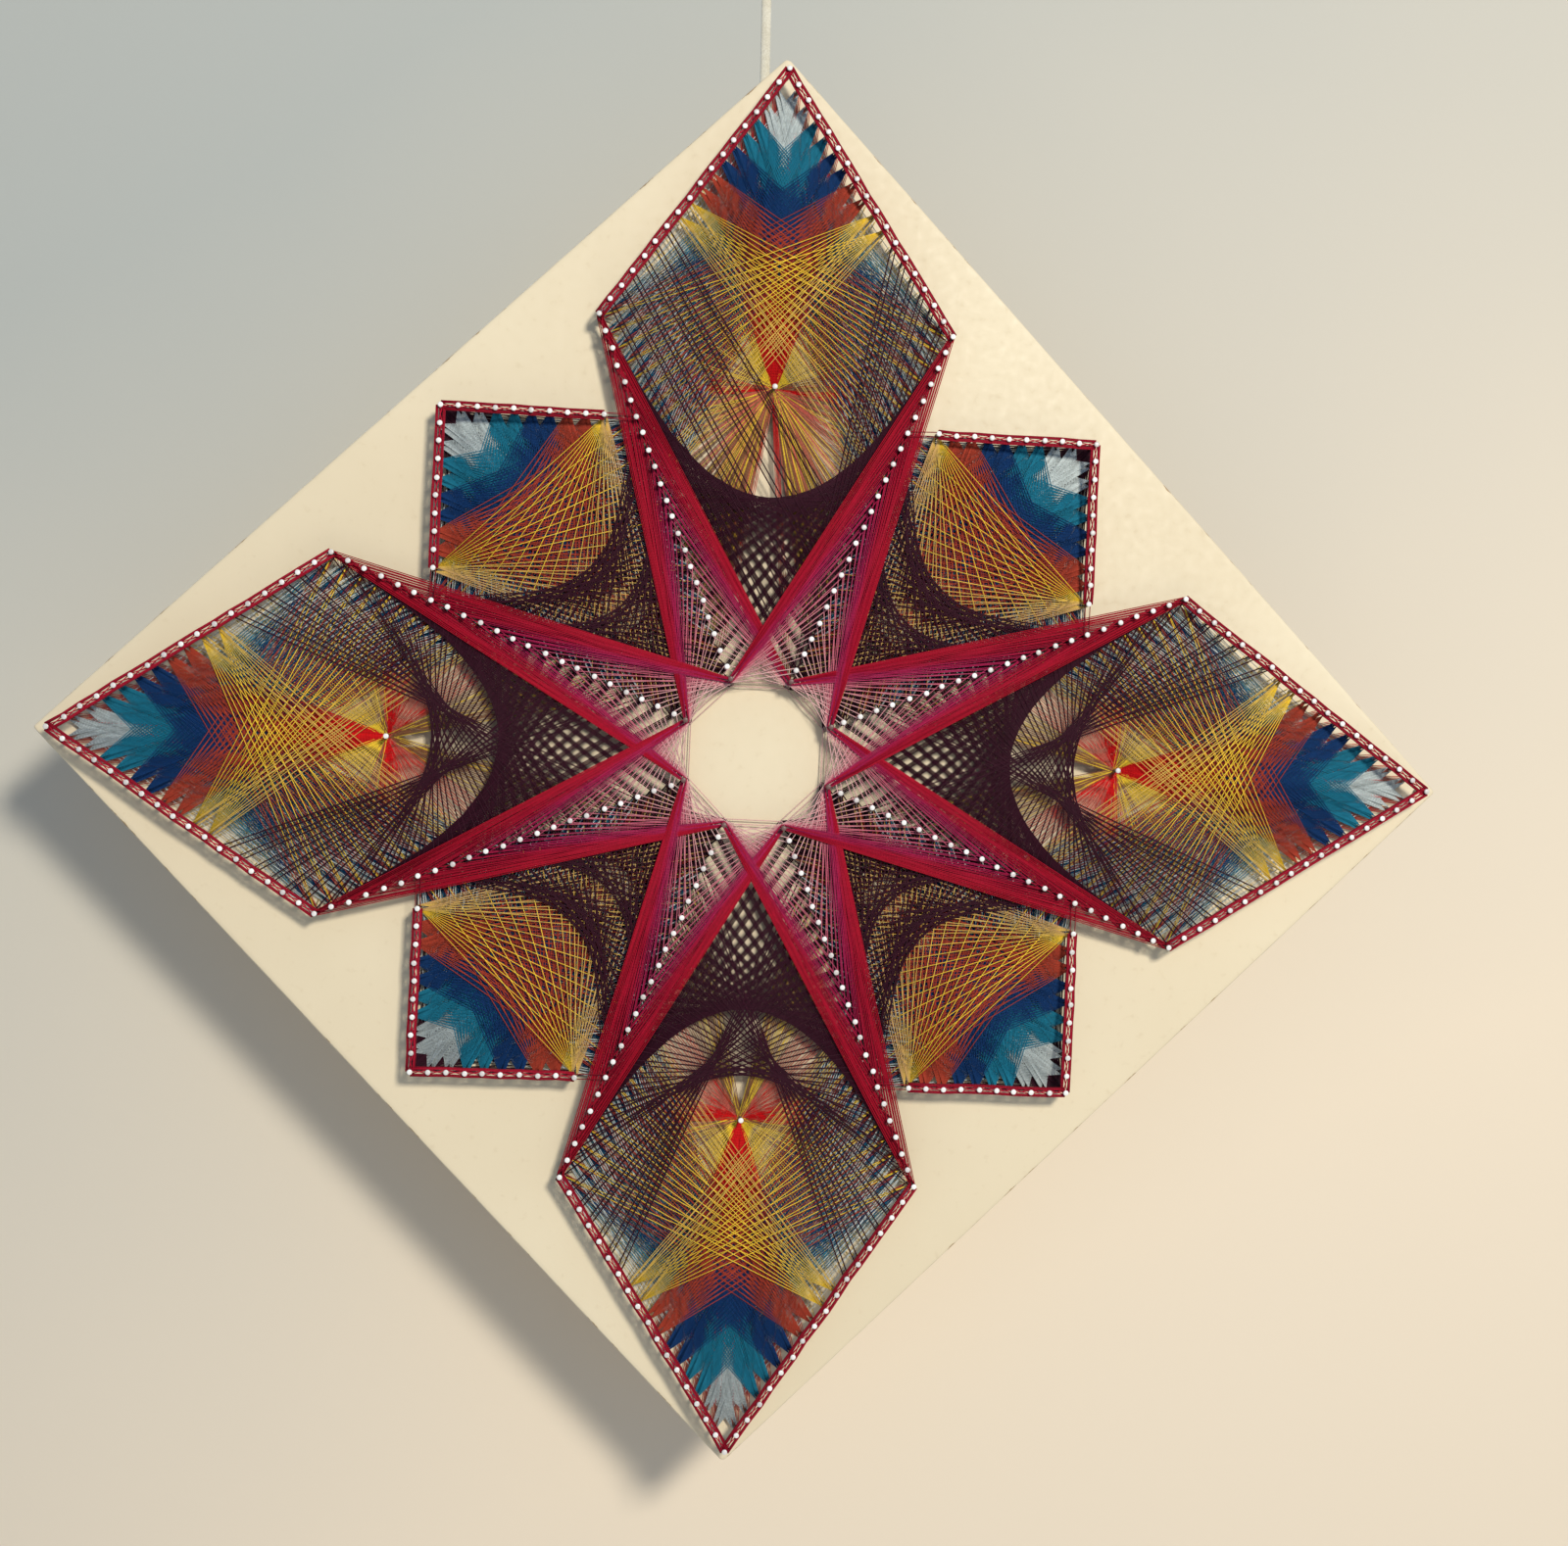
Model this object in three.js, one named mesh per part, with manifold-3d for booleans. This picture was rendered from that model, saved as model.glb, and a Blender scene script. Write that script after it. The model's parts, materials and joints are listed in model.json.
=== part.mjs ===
// String art panel: a square painted board, hung by one corner, with a nailed star of eight
// petals that is wound with coloured thread.
// Millimetres. In the panel's own frame x runs right, y up the face and z out of the painted
// face, which lies at z = 0. Angles run clockwise from the top corner.

import * as THREE from 'three';
import { mergeVertices } from 'three/addons/utils/BufferGeometryUtils.js';
import Module from 'manifold-3d';

// Board
const boardSide = 400;
const boardThickness = 12;

// Nail layout
const tipMargin = 8.7; // board corner to the tip nail of a long petal
const cornerMargin = 15.5; // board edge to the corner nail of a square petal
const starRise = 2.6; // the star was laid out with its centre this far above the board's
const octagonRadius = 29.5; // innermost nail of each arm to the star's centre
const armPitch = 7.1;
const edgePitch = 7.39;
const squarePitch = 7.1;
const joinStep = 6; // the arm nail that a square petal's row runs to, from the outer end
const squareRowNails = 9; // in one outer row of a square petal, besides its corner nail
const centreNailRadius = 145.5;

// Nails
const nailWidth = 1.6;
const nailShow = 2.4; // nail above the uppermost thread
const nailBacking = 3; // wood left behind a driven nail
const nailHeadWidth = 2.6;
const nailHeadHeight = 0.7;
const nailPoint = 2;
const stripLip = 0.2; // how far the strip of driven shanks is wider than a nail, each side
const stripSink = 0.6; // the strip's top below the painted face
const stripLap = 0.6; // how far a standing shank reaches into the strip

// Thread
const clearance = 0.3;
const threadWidth = 1.2;
const threadThickness = 0.6;
const firstLayerHeight = 3;
const fanReach = 10; // arm nails that a fan covers, from the arm's outer end
const plumFirst = 1;
const plumStride = 5;
const starFirst = 2;
const starStride = 7;
const linkStep = 8; // the thread passes to the next petal just past this arm nail
const strandLap = 0.3; // how far a strand of the star runs past its bend

// Hanger on the back
const hangerDrop = 46; // board corner down to the ring's bar
const hangerOffset = -7.2; // sideways from the panel's middle
const strapThickness = 1.2;
const strapLength = 34; // foot to the ring's bar
const screwSpacing = 14;
const screwFoot = 7; // strap foot to the lower screw
const screwRadius = 1.5;
const screwBacking = 4; // wood left in front of a screw
const screwTipRadius = 0.45;
const screwTaper = 3;
const screwHeadRadius = 3;
const screwHeadHeight = 1.8;
const screwCrownRadius = 2.4;
const screwCrownHeight = 0.54;
const ringWire = 2.2;
const ringRadius = 5.6; // middle of the wire
const cordWidth = 4;
const cordThickness = 1.8;
const cordInset = 1; // the cord runs this much nearer the board than the ring's bar
const hitchThickness = 1.2; // of the cord drawn tight round the ring
const ringKnotWidth = 6;
const ringKnotHeight = 4.8;
const loopKnotWidth = 8;
const loopKnotHeight = 6.4;
const loopWidth = 15.4; // across, between the middles of the cord
const loopHeight = 22;

// Cord route, sideways and up from the middle of the ring's bow: it leans left as it rises,
// because the panel hangs a little askew
const cordRoute = [
  [0, 4], [-0.1, 8], [-0.2, 12], [-0.3, 16], [-0.4, 20], [-0.5, 24], [-0.6, 28], [-0.7, 32],
  [-0.8, 36], [-0.9, 40], [-1, 44], [-1.1, 48], [-1.2, 52], [-1.3, 56], [-1.4, 60], [-1.5, 64],
  [-1.6, 68],
];
const cordSteps = 8; // straight lengths in the cord's tube

// Rounding
const flatness = 0.001; // faces nearer to one plane than this are one face
const cutMargin = 1; // how far a cutting solid reaches past what it cuts
const roundSides = 8; // of a small round piece

// Worked out from the sizes above
const quarters = [0, 1, 2, 3];
const arms = 2 * quarters.length;
const armAngle = Math.PI / arms;
const halfDiagonal = boardSide * Math.SQRT1_2;
const tipRadius = halfDiagonal - tipMargin;
const squareCorner = halfDiagonal / 2 - cornerMargin * Math.SQRT1_2;
const joinRadius = squareCorner / Math.cos(armAngle);
const innerSteps = Math.round((joinRadius - octagonRadius) / armPitch);
const armSteps = joinStep + innerSteps;
const nailReach = nailWidth * Math.SQRT1_2 + clearance;
const strandOffset = nailReach + threadWidth / 2;
const layerPitch = threadThickness + clearance;
const stripWidth = nailWidth + 2 * stripLip;

const layers = ['white', 'teal', 'blue', 'rust', 'yellow', 'plum', 'star', 'star_over', 'border'];
const layerLow = (layer) => firstLayerHeight + layers.indexOf(layer) * layerPitch;
const layerHigh = (layer) => layerLow(layer) + threadThickness;
const nailProud = layerHigh(layers.at(-1)) + nailShow;
const nailDriven = boardThickness - nailBacking;
const nailHole = -nailDriven - clearance;
const backFace = -boardThickness;

const paint = { roughness: 0.7, metalness: 0 };
const yarn = { roughness: 0.8, metalness: 0 };
const steel = { roughness: 0.3, metalness: 0.9 };
const finishes = {
  board: { color: 0xf3e6c6, ...paint },
  nail: { color: 0xd8d6d0, ...steel },
  hanger: { color: 0xb9b4a8, ...steel },
  cord: { color: 0xe6dcc4, ...yarn },
  white: { color: 0xe9e8de, ...yarn },
  teal: { color: 0x4fa3ad, ...yarn },
  blue: { color: 0x2c3a78, ...yarn },
  rust: { color: 0x8f2a1a, ...yarn },
  yellow: { color: 0xe2ac2c, ...yarn },
  plum: { color: 0x2a1020, ...yarn },
  star: { color: 0xb3123f, ...yarn },
  border: { color: 0xa80f2b, ...yarn },
};

const wasm = await Module();
wasm.setup();

function toSolid(geometry) {
  geometry.deleteAttribute('normal');
  geometry.deleteAttribute('uv');
  const merged = mergeVertices(geometry);
  return new wasm.Manifold(new wasm.Mesh({
    numProp: 3,
    vertProperties: new Float32Array(merged.attributes.position.array),
    triVerts: new Uint32Array(merged.index.array),
  }));
}

// The flat faces that joins and cuts left in pieces are made whole again first
function toGeometry(solid) {
  const mesh = solid.setTolerance(flatness).getMesh();
  const geometry = new THREE.BufferGeometry();
  geometry.setAttribute('position', new THREE.BufferAttribute(mesh.vertProperties, 3));
  geometry.setIndex(new THREE.BufferAttribute(mesh.triVerts, 1));
  geometry.computeVertexNormals();
  return geometry;
}

const joined = (solids) => solids.reduce((sum, solid) => sum.add(solid));

// A flat slab of the given outline between two heights over the painted face
function slab(outline, low, high) {
  const geometry = new THREE.ExtrudeGeometry(new THREE.Shape(outline), {
    depth: high - low,
    bevelEnabled: false,
  });
  return toSolid(geometry.translate(0, 0, low));
}

const along = (from, to) => to.clone().sub(from).normalize();
const across = (direction) => new THREE.Vector2(-direction.y, direction.x);
const shifted = (point, direction, distance) => point.clone().addScaledVector(direction, distance);

// A straight bar between two points of the face
function bar(from, to, width, low, high) {
  const side = across(along(from, to)).multiplyScalar(width / 2);
  const corners = [
    from.clone().sub(side), to.clone().sub(side), to.clone().add(side), from.clone().add(side),
  ];
  return slab(corners, low, high);
}

// A bar that runs past both of its points by half its width
function band(from, to, width, low, high) {
  const direction = along(from, to);
  const start = shifted(from, direction, -width / 2);
  const end = shifted(to, direction, width / 2);
  return bar(start, end, width, low, high);
}

function pin(centre, radius, low, high) {
  const outline = new THREE.EllipseCurve(centre.x, centre.y, radius, radius);
  return slab(outline.getPoints(roundSides).slice(0, -1), low, high);
}

const polar = (radius, angle) =>
  new THREE.Vector2(radius * Math.sin(angle), radius * Math.cos(angle));

// A point at a distance and angle from the star's centre
const starPoint = (radius, angle) => polar(radius, angle).add(new THREE.Vector2(0, starRise));

function nailRow(from, to, steps) {
  return Array.from({ length: steps + 1 }, (_, step) => from.clone().lerp(to, step / steps));
}

// The nails of one arm, from its outer end to the octagon
function armRow(arm) {
  const angle = armAngle + (arm * 2 * Math.PI) / arms;
  const outer = starPoint(joinRadius + joinStep * armPitch, angle);
  const join = starPoint(joinRadius, angle);
  const inner = starPoint(octagonRadius, angle);
  return [...nailRow(outer, join, joinStep), ...nailRow(join, inner, innerSteps).slice(1)];
}

const armRows = Array.from({ length: arms }, (_, arm) => armRow(arm));
const armAt = (arm) => armRows[(arm + arms) % arms];

function longPetal(quarter) {
  const tip = polar(tipRadius, (quarter * Math.PI) / 2);
  const sides = [armAt(2 * quarter - 1), armAt(2 * quarter)].map((arm) => {
    const steps = Math.round(tip.distanceTo(arm[0]) / edgePitch);
    return { edge: nailRow(tip, arm[0], steps), arm };
  });
  return { tip, sides };
}

function squarePetal(quarter) {
  const tip = starPoint(squareCorner * Math.SQRT2, (quarter * Math.PI) / 2 + Math.PI / 4);
  const sides = [armAt(2 * quarter), armAt(2 * quarter + 1)].map((wholeArm) => {
    const arm = wholeArm.slice(joinStep);
    const last = shifted(tip, along(tip, arm[0]), squarePitch * squareRowNails);
    return { edge: nailRow(tip, last, squareRowNails), arm };
  });
  return { tip, sides };
}

// The space inside a petal's nail rows, drawn in so that thread keeps clear of the nails
function threadField(petal, low, high) {
  const [first, second] = petal.sides.map(({ arm }) => arm);
  const corners = [petal.tip, second[0], second.at(-1), first.at(-1), first[0]];
  const lines = corners.map((corner, index) => {
    const direction = along(corner, corners[(index + 1) % corners.length]);
    return { point: shifted(corner, across(direction), -nailReach), direction };
  });
  const outline = lines.map((line, index) => {
    const before = lines.at(index - 1);
    const offset = line.point.clone().sub(before.point);
    const reach = offset.cross(line.direction) / before.direction.cross(line.direction);
    return shifted(before.point, before.direction, reach);
  });
  return slab(outline.reverse(), low, high);
}

// Thread that runs along an arm from nail to nail; its outer half falls outside the field
function rail(arm, inward, low, high) {
  const direction = along(arm[0], arm.at(-1));
  const from = shifted(shifted(arm[0], inward, nailReach), direction, -nailReach);
  const to = shifted(shifted(arm.at(-1), inward, nailReach), direction, nailReach);
  return bar(from, to, 2 * threadWidth, low, high);
}

// The closed field that the threads from two neighbouring edge nails sweep on the opposite arm,
// and its mirror image from the other edge
function fanFields(petal, firstNail, low, high) {
  return petal.sides.map(({ edge }, side) => {
    const { arm } = petal.sides[1 - side];
    const edgePair = edge.slice(firstNail, firstNail + 2);
    return slab([...edgePair, arm[fanReach], arm[0]], low, high);
  });
}

// Chords from arm to arm whose envelope is a parabola
function armChords(petal, low, high) {
  const [first, second] = petal.sides.map(({ arm }) => arm);
  const sum = first.length - 2;
  const strands = [];
  for (let step = plumFirst; step <= sum - plumFirst; step += plumStride) {
    strands.push(bar(first[step], second[sum - step], threadWidth, low, high));
  }
  return strands;
}

const centreNailAt = (quarter) => starPoint(centreNailRadius, (quarter * Math.PI) / 2);

// The first of the edge nails, counted from the petal's tip, that hold each colour's fan
const fanNails = { white: 1, teal: 3, blue: 5, rust: 7, yellow: 9 };

function petalThread(petal, layer, linkedSide) {
  const [low, high] = [layerLow(layer), layerHigh(layer)];
  const { arm } = petal.sides[linkedSide];
  const inward = across(along(arm[0], arm.at(-1))).multiplyScalar(linkedSide ? -1 : 1);
  const strands = layer === 'plum'
    ? [...armChords(petal, low, high), rail(arm, inward, low, high)]
    : fanFields(petal, fanNails[layer], low, high);
  return joined(strands).intersect(threadField(petal, low - cutMargin, high + cutMargin));
}

// One colour on a long petal and the square petal clockwise of it, with the strand that carries
// it through the nails of the arm between them
function colourThread(quarter, layer) {
  const [low, high] = [layerLow(layer), layerHigh(layer)];
  const arm = armAt(2 * quarter);
  const direction = along(arm[0], arm.at(-1));
  const middle = arm[linkStep].clone().lerp(arm[linkStep + 1], 0.5);
  const reach = nailReach + threadWidth;
  const from = shifted(middle, across(direction), -reach);
  const to = shifted(middle, across(direction), reach);
  return joined([
    petalThread(longPetal(quarter), layer, 1),
    petalThread(squarePetal(quarter), layer, 0),
    bar(from, to, threadWidth, low, high),
  ]).subtract(pin(centreNailAt(quarter), nailReach, low - cutMargin, high + cutMargin));
}

// One arm of the star: loops round nails of the arm, drawn down to the octagon nails beside it
function starThread(arm) {
  const layer = arm % 2 ? 'star_over' : 'star';
  const [low, high] = [layerLow(layer), layerHigh(layer)];
  const row = armAt(arm);
  const direction = along(row[0], row.at(-1));
  const strands = [];
  for (let step = starFirst; step < armSteps; step += starStride) {
    const top = shifted(row[step], direction, -strandOffset);
    const shoulders = [-1, 1].map((side) => {
      const corner = shifted(top, across(direction), side * strandOffset);
      const octagonNail = armAt(arm + side).at(-1);
      const towards = along(octagonNail, row[Math.round(armSteps / 2)]);
      const foot = shifted(octagonNail, towards, strandOffset);
      const head = shifted(corner, along(foot, corner), strandLap);
      strands.push(bar(head, foot, threadWidth, low, high));
      return corner;
    });
    strands.push(bar(shoulders[0], shoulders[1], threadWidth, low, high));
  }
  return joined(strands);
}

// Thread wound round a line of nails, out along one side and back along the other
function borderThread(paths) {
  const [low, high] = [layerLow('border'), layerHigh('border')];
  const outer = 2 * (nailReach + threadWidth);
  const inner = 2 * nailReach;
  const outside = joined(paths.map(([from, to]) => band(from, to, outer, low, high)));
  const inside = joined(paths.map(([from, to]) =>
    band(from, to, inner, low - cutMargin, high + cutMargin)));
  return outside.subtract(inside);
}

function longBorder(quarter) {
  return borderThread(longPetal(quarter).sides.map(({ edge }) => [edge[0], edge.at(-1)]));
}

function squareBorder(quarter) {
  const endGap = 2 * nailReach + threadWidth;
  return borderThread(squarePetal(quarter).sides.map(({ edge, arm }) =>
    [edge[0], shifted(arm[0], along(arm[0], edge[0]), endGap)]));
}

// A line of nails: their driven shanks make one strip in the board, and each shank stands free
function nailLine(rows) {
  const strips = rows.map((row) => band(row[0], row.at(-1), stripWidth, -nailDriven, -stripSink));
  const shanks = rows.flatMap((row, index) => {
    const half = along(row[0], row.at(-1)).multiplyScalar(nailWidth / 2);
    const own = row.slice(index === 0 ? 0 : 1);
    return own.map((nail) =>
      bar(nail.clone().sub(half), nail.clone().add(half), nailWidth, -stripSink - stripLap, nailProud));
  });
  return joined([...strips, ...shanks]);
}

const slotFor = (row) =>
  band(row[0], row.at(-1), stripWidth + 2 * clearance, nailHole, cutMargin);

const longRows = (quarter) => {
  const [first, second] = longPetal(quarter).sides;
  return [first.edge, second.edge, first.arm, second.arm];
};
const squareRows = (quarter) => squarePetal(quarter).sides.map(({ edge }) => edge);

// Places on the back, in the panel's frame
const ringBarInset = ringWire / 2 + clearance + strapThickness;
const ringInside = ringRadius - ringWire / 2 - clearance;
const strapWidth = 2 * Math.sqrt(ringInside ** 2 - ringBarInset ** 2);
const ringBar = new THREE.Vector3(
  hangerOffset, halfDiagonal - hangerDrop, backFace - clearance - ringBarInset);
const strapFoot = ringBar.y - strapLength;
const screwPlaces = [0, 1].map((index) =>
  new THREE.Vector2(hangerOffset, strapFoot + screwFoot + index * screwSpacing));

function boardSolid() {
  const corners = quarters.map((quarter) => polar(halfDiagonal, (-quarter * Math.PI) / 2));
  const rows = quarters.flatMap((quarter) => [...longRows(quarter), ...squareRows(quarter)]);
  const nailHoles = quarters.map((quarter) =>
    pin(centreNailAt(quarter), nailWidth / 2 + clearance, nailHole, cutMargin));
  const screwHoles = screwPlaces.map((place) =>
    pin(place, screwRadius + clearance, backFace - cutMargin, clearance - screwBacking));
  return [...rows.map(slotFor), ...nailHoles, ...screwHoles]
    .reduce((solid, cut) => solid.subtract(cut), slab(corners, backFace, 0));
}

// A single round nail with its flat head and point
function centreNail() {
  const profile = [
    [0, -nailDriven],
    [nailWidth / 2, nailPoint - nailDriven],
    [nailWidth / 2, nailProud - nailHeadHeight],
    [nailHeadWidth / 2, nailProud - nailHeadHeight],
    [nailHeadWidth / 2, nailProud],
    [0, nailProud],
  ].map(([radius, height]) => new THREE.Vector2(radius, height));
  return new THREE.LatheGeometry(profile, roundSides).rotateX(Math.PI / 2);
}

// Strap of sheet metal, curled over the ring's bar and drilled for two screws
function strapSolid() {
  const inner = ringWire / 2 + clearance;
  const outer = inner + strapThickness;
  const tuck = Math.sqrt(outer * outer - inner * inner);
  const profile = new THREE.Shape();
  profile.moveTo(0, 0);
  profile.lineTo(strapThickness, 0);
  profile.lineTo(strapThickness, strapLength - tuck);
  profile.absarc(outer, strapLength, outer, Math.atan2(-tuck, -inner), Math.PI, false);
  profile.lineTo(0, 0);
  const bore = new THREE.Path();
  bore.absarc(outer, strapLength, inner, 0, 2 * Math.PI, true);
  profile.holes.push(bore);
  const geometry = new THREE.ExtrudeGeometry(profile, {
    depth: strapWidth,
    bevelEnabled: false,
    curveSegments: roundSides,
  });
  geometry.translate(0, 0, -strapWidth / 2);
  geometry.rotateY(Math.PI / 2);
  geometry.translate(hangerOffset, strapFoot, backFace - clearance);
  return screwPlaces.reduce((solid, place) =>
    solid.subtract(pin(place, screwRadius + clearance, backFace - 2 * outer, backFace)),
  toSolid(geometry));
}

// Round-headed screw, head towards the wall
function screwGeometry() {
  const seat = backFace - strapThickness - 2 * clearance;
  const crown = seat - screwHeadHeight;
  const profile = [
    [0, crown],
    [screwCrownRadius, crown + screwCrownHeight],
    [screwHeadRadius, seat],
    [screwRadius, seat],
    [screwRadius, -screwBacking - screwTaper],
    [screwTipRadius, -screwBacking],
    [0, -screwBacking],
  ].map(([radius, height]) => new THREE.Vector2(radius, height));
  return new THREE.LatheGeometry(profile, roundSides).rotateX(Math.PI / 2);
}

// D-shaped wire ring: a straight bar in the strap's curl and a round bow over it
function ringSolid() {
  const wire = ringWire / 2;
  const bow = toSolid(new THREE.TorusGeometry(ringRadius, wire, roundSides, 20));
  const upper = toSolid(
    new THREE.BoxGeometry(4 * ringRadius, 2 * ringRadius, 4 * wire).translate(0, ringRadius, 0));
  const straight = new THREE.CylinderGeometry(wire, wire, 2 * (ringRadius + wire), roundSides);
  return bow.intersect(upper).add(toSolid(straight.rotateZ(Math.PI / 2)));
}

// The cord, from its knot on the ring's bow up to its loop
const bowTop = new THREE.Vector3(0, ringRadius, 0);
const routePoint = ([sideways, up]) => bowTop.clone().add(new THREE.Vector3(sideways, up, cordInset));

// A flat knot, thicker than the cord in the same share as it is wider
function knotSolid(place, width, height) {
  const knot = new THREE.SphereGeometry(0.5, roundSides, 5);
  knot.scale(width, height, (width / cordWidth) * cordThickness);
  return toSolid(knot.translate(place.x, place.y, place.z));
}

// One turn of the cord round the ring's wire
function hitchSolid() {
  const turnRadius = ringWire / 2 + clearance + hitchThickness / 2;
  const turn = new THREE.TorusGeometry(turnRadius, hitchThickness / 2, 5, roundSides);
  return toSolid(turn.rotateY(Math.PI / 2).translate(bowTop.x, bowTop.y, bowTop.z));
}

function cordSolid() {
  const points = cordRoute.map(routePoint);
  const outline = new THREE.EllipseCurve(0, 0, cordThickness / 2, cordWidth / 2);
  const section = new THREE.Shape(outline.getPoints(roundSides).slice(0, -1));
  const tube = new THREE.ExtrudeGeometry(section, {
    steps: cordSteps,
    bevelEnabled: false,
    extrudePath: new THREE.CatmullRomCurve3(points),
  });
  return joined([toSolid(tube), knotSolid(points[0], ringKnotWidth, ringKnotHeight), hitchSolid()]);
}

function loopSolid() {
  const end = routePoint(cordRoute.at(-1));
  const knotPlace = end.clone().add(new THREE.Vector3(0, loopKnotHeight / 2 + clearance, 0));
  const loop = new THREE.TorusGeometry(loopHeight / 2, cordThickness / 2, 6, 16);
  loop.scale(loopWidth / loopHeight, 1, 1);
  loop.translate(knotPlace.x, knotPlace.y + loopHeight / 2, knotPlace.z);
  return toSolid(loop).add(knotSolid(knotPlace, loopKnotWidth, loopKnotHeight));
}

const panel = new THREE.Group();

function place(name, finish, shape, group = panel) {
  const geometry = shape.isBufferGeometry ? shape : toGeometry(shape);
  const mesh = new THREE.Mesh(geometry, new THREE.MeshStandardMaterial(finishes[finish]));
  mesh.name = name;
  group.add(mesh);
  return mesh;
}

const longNames = ['top', 'right', 'bottom', 'left'];
const squareNames = ['upper_right', 'lower_right', 'lower_left', 'upper_left'];

place('board', 'board', boardSolid());
quarters.forEach((quarter) => {
  const [longName, squareName] = [longNames[quarter], squareNames[quarter]];
  place(`nails_${longName}`, 'nail', nailLine(longRows(quarter)));
  place(`nails_${squareName}`, 'nail', nailLine(squareRows(quarter)));
  const { x, y } = centreNailAt(quarter);
  place(`centre_nail_${longName}`, 'nail', centreNail()).position.set(x, y, 0);
  ['white', 'teal', 'blue', 'rust', 'yellow', 'plum'].forEach((layer) => {
    place(`${layer}_thread_${longName}`, layer, colourThread(quarter, layer));
  });
  place(`red_border_${longName}`, 'border', longBorder(quarter));
  place(`red_border_${squareName}`, 'border', squareBorder(quarter));
});
armRows.forEach((_, arm) => place(`star_arm_${arm + 1}`, 'star', starThread(arm)));

place('hanger_strap', 'hanger', strapSolid());
screwPlaces.forEach(({ x, y }, index) => {
  place(`hanger_screw_${index ? 'upper' : 'lower'}`, 'hanger', screwGeometry()).position.set(x, y, 0);
});
const hanging = new THREE.Group();
hanging.position.copy(ringBar);
panel.add(hanging);
place('hanger_ring', 'hanger', ringSolid(), hanging);
place('hanging_cord', 'cord', cordSolid(), hanging);
place('hanging_loop', 'cord', loopSolid(), hanging);

// The panel hangs upright: its painted face looks along -Y and its back lies in the XZ plane
panel.rotation.x = Math.PI / 2;
panel.position.y = backFace;

export default panel;
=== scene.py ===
"""A string art panel: a star of coloured thread wound on nails in a painted square board that
hangs by one corner. Shapes are worked out in millimetres in the panel's own frame: x to the
right, y up the face and z out of the painted face. Angles run clockwise from the top corner."""
import json
import math

import bpy
import numpy as np
from mathutils import Matrix, Vector


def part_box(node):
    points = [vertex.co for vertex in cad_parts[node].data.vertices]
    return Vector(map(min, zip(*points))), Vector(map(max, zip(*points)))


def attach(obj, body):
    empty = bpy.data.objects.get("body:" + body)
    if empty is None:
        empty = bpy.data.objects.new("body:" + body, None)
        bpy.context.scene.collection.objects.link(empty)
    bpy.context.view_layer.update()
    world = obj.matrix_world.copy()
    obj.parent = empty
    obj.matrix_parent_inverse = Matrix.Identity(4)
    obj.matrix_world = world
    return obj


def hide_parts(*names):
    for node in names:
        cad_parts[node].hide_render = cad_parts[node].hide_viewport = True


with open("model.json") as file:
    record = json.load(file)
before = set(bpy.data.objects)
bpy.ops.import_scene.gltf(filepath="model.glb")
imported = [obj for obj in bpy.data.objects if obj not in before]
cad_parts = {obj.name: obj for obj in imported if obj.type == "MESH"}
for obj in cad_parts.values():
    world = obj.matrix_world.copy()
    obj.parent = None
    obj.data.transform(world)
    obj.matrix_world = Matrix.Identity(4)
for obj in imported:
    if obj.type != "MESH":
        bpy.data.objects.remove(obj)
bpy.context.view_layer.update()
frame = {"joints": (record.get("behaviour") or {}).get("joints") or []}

MM = 0.001
rng = np.random.default_rng(11)

# Sizes from the frame
BOARD_LOW, BOARD_HIGH = (np.array(corner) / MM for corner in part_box("board"))
HALF_DIAGONAL = BOARD_HIGH[2]
FACE = BOARD_LOW[1]
BACK = FACE - BOARD_HIGH[1]
NAIL_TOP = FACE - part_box("nails_top")[0].y / MM
RING_BAR = np.array(frame["joints"][0]["pos_m"])

# Nail layout, as in the solids
TIP_MARGIN = 8.7
CORNER_MARGIN = 15.5
STAR_RISE = 2.6         # the star's centre above the board's
OCTAGON_RADIUS = 29.5
ARM_PITCH = 7.1
EDGE_PITCH = 7.39
SQUARE_PITCH = 7.1
JOIN_STEP = 6
SQUARE_ROW = 9
CENTRE_NAIL_RADIUS = 145.5
QUARTERS = range(4)
ARMS = 8
ARM_ANGLE = math.pi / ARMS
LONG_NAMES = ("top", "right", "bottom", "left")
SQUARE_NAMES = ("upper_right", "lower_right", "lower_left", "upper_left")

# Nails
NAIL_RADIUS = 0.75
NAIL_SIDES = 12
NAIL_DRIVEN = 2.0
NAIL_HEAD = 1.08
NAIL_WOBBLE = 0.012     # sideways lean per unit of height, at random
NAIL_SINK = 0.25        # spread, at random, of how much lower a nail stands
OCTAGON_LEAN = 0.15     # the octagon nails are drawn outward by the star
NAIL_SOIL = 0.4         # how far a nail's head may be soiled; an octagon nail's is wholly so

# Thread
THREAD_RADIUS = 0.2
THREAD_SIDES = 5
HALF_TURN_STEPS = 4
WRAP = NAIL_RADIUS + THREAD_RADIUS
FINE_RADIUS = 0.16      # of the rays and of the thread in the five lower colours
PLUM_RADIUS = 0.29
# From the face up. The star's arms lie over each other and take up two layers
LAYERS = ("net", "white", "teal", "blue", "rust", "rays", "yellow", "plum", "star", "star_over",
          "border")
FIRST_LAYER = 1.5
LAYER_PITCH = 0.9
LAYER_SPREAD = 0.8
TONE_SPREAD = 0.4       # of the dye from strand to strand


# Points and tubes

def polar(radius, angle):
    return np.array([radius * math.sin(angle), radius * math.cos(angle)])


def star_point(radius, angle):
    """A point of the face at a distance and angle from the star's centre"""
    return polar(radius, angle) + np.array([0, STAR_RISE])


def to_world(points):
    """From the panel's own millimetres to the shared frame's metres"""
    x, y, z = np.moveaxis(np.asarray(points, float), -1, 0)
    return np.stack([x, FACE - z, y], axis=-1) * MM


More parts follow.
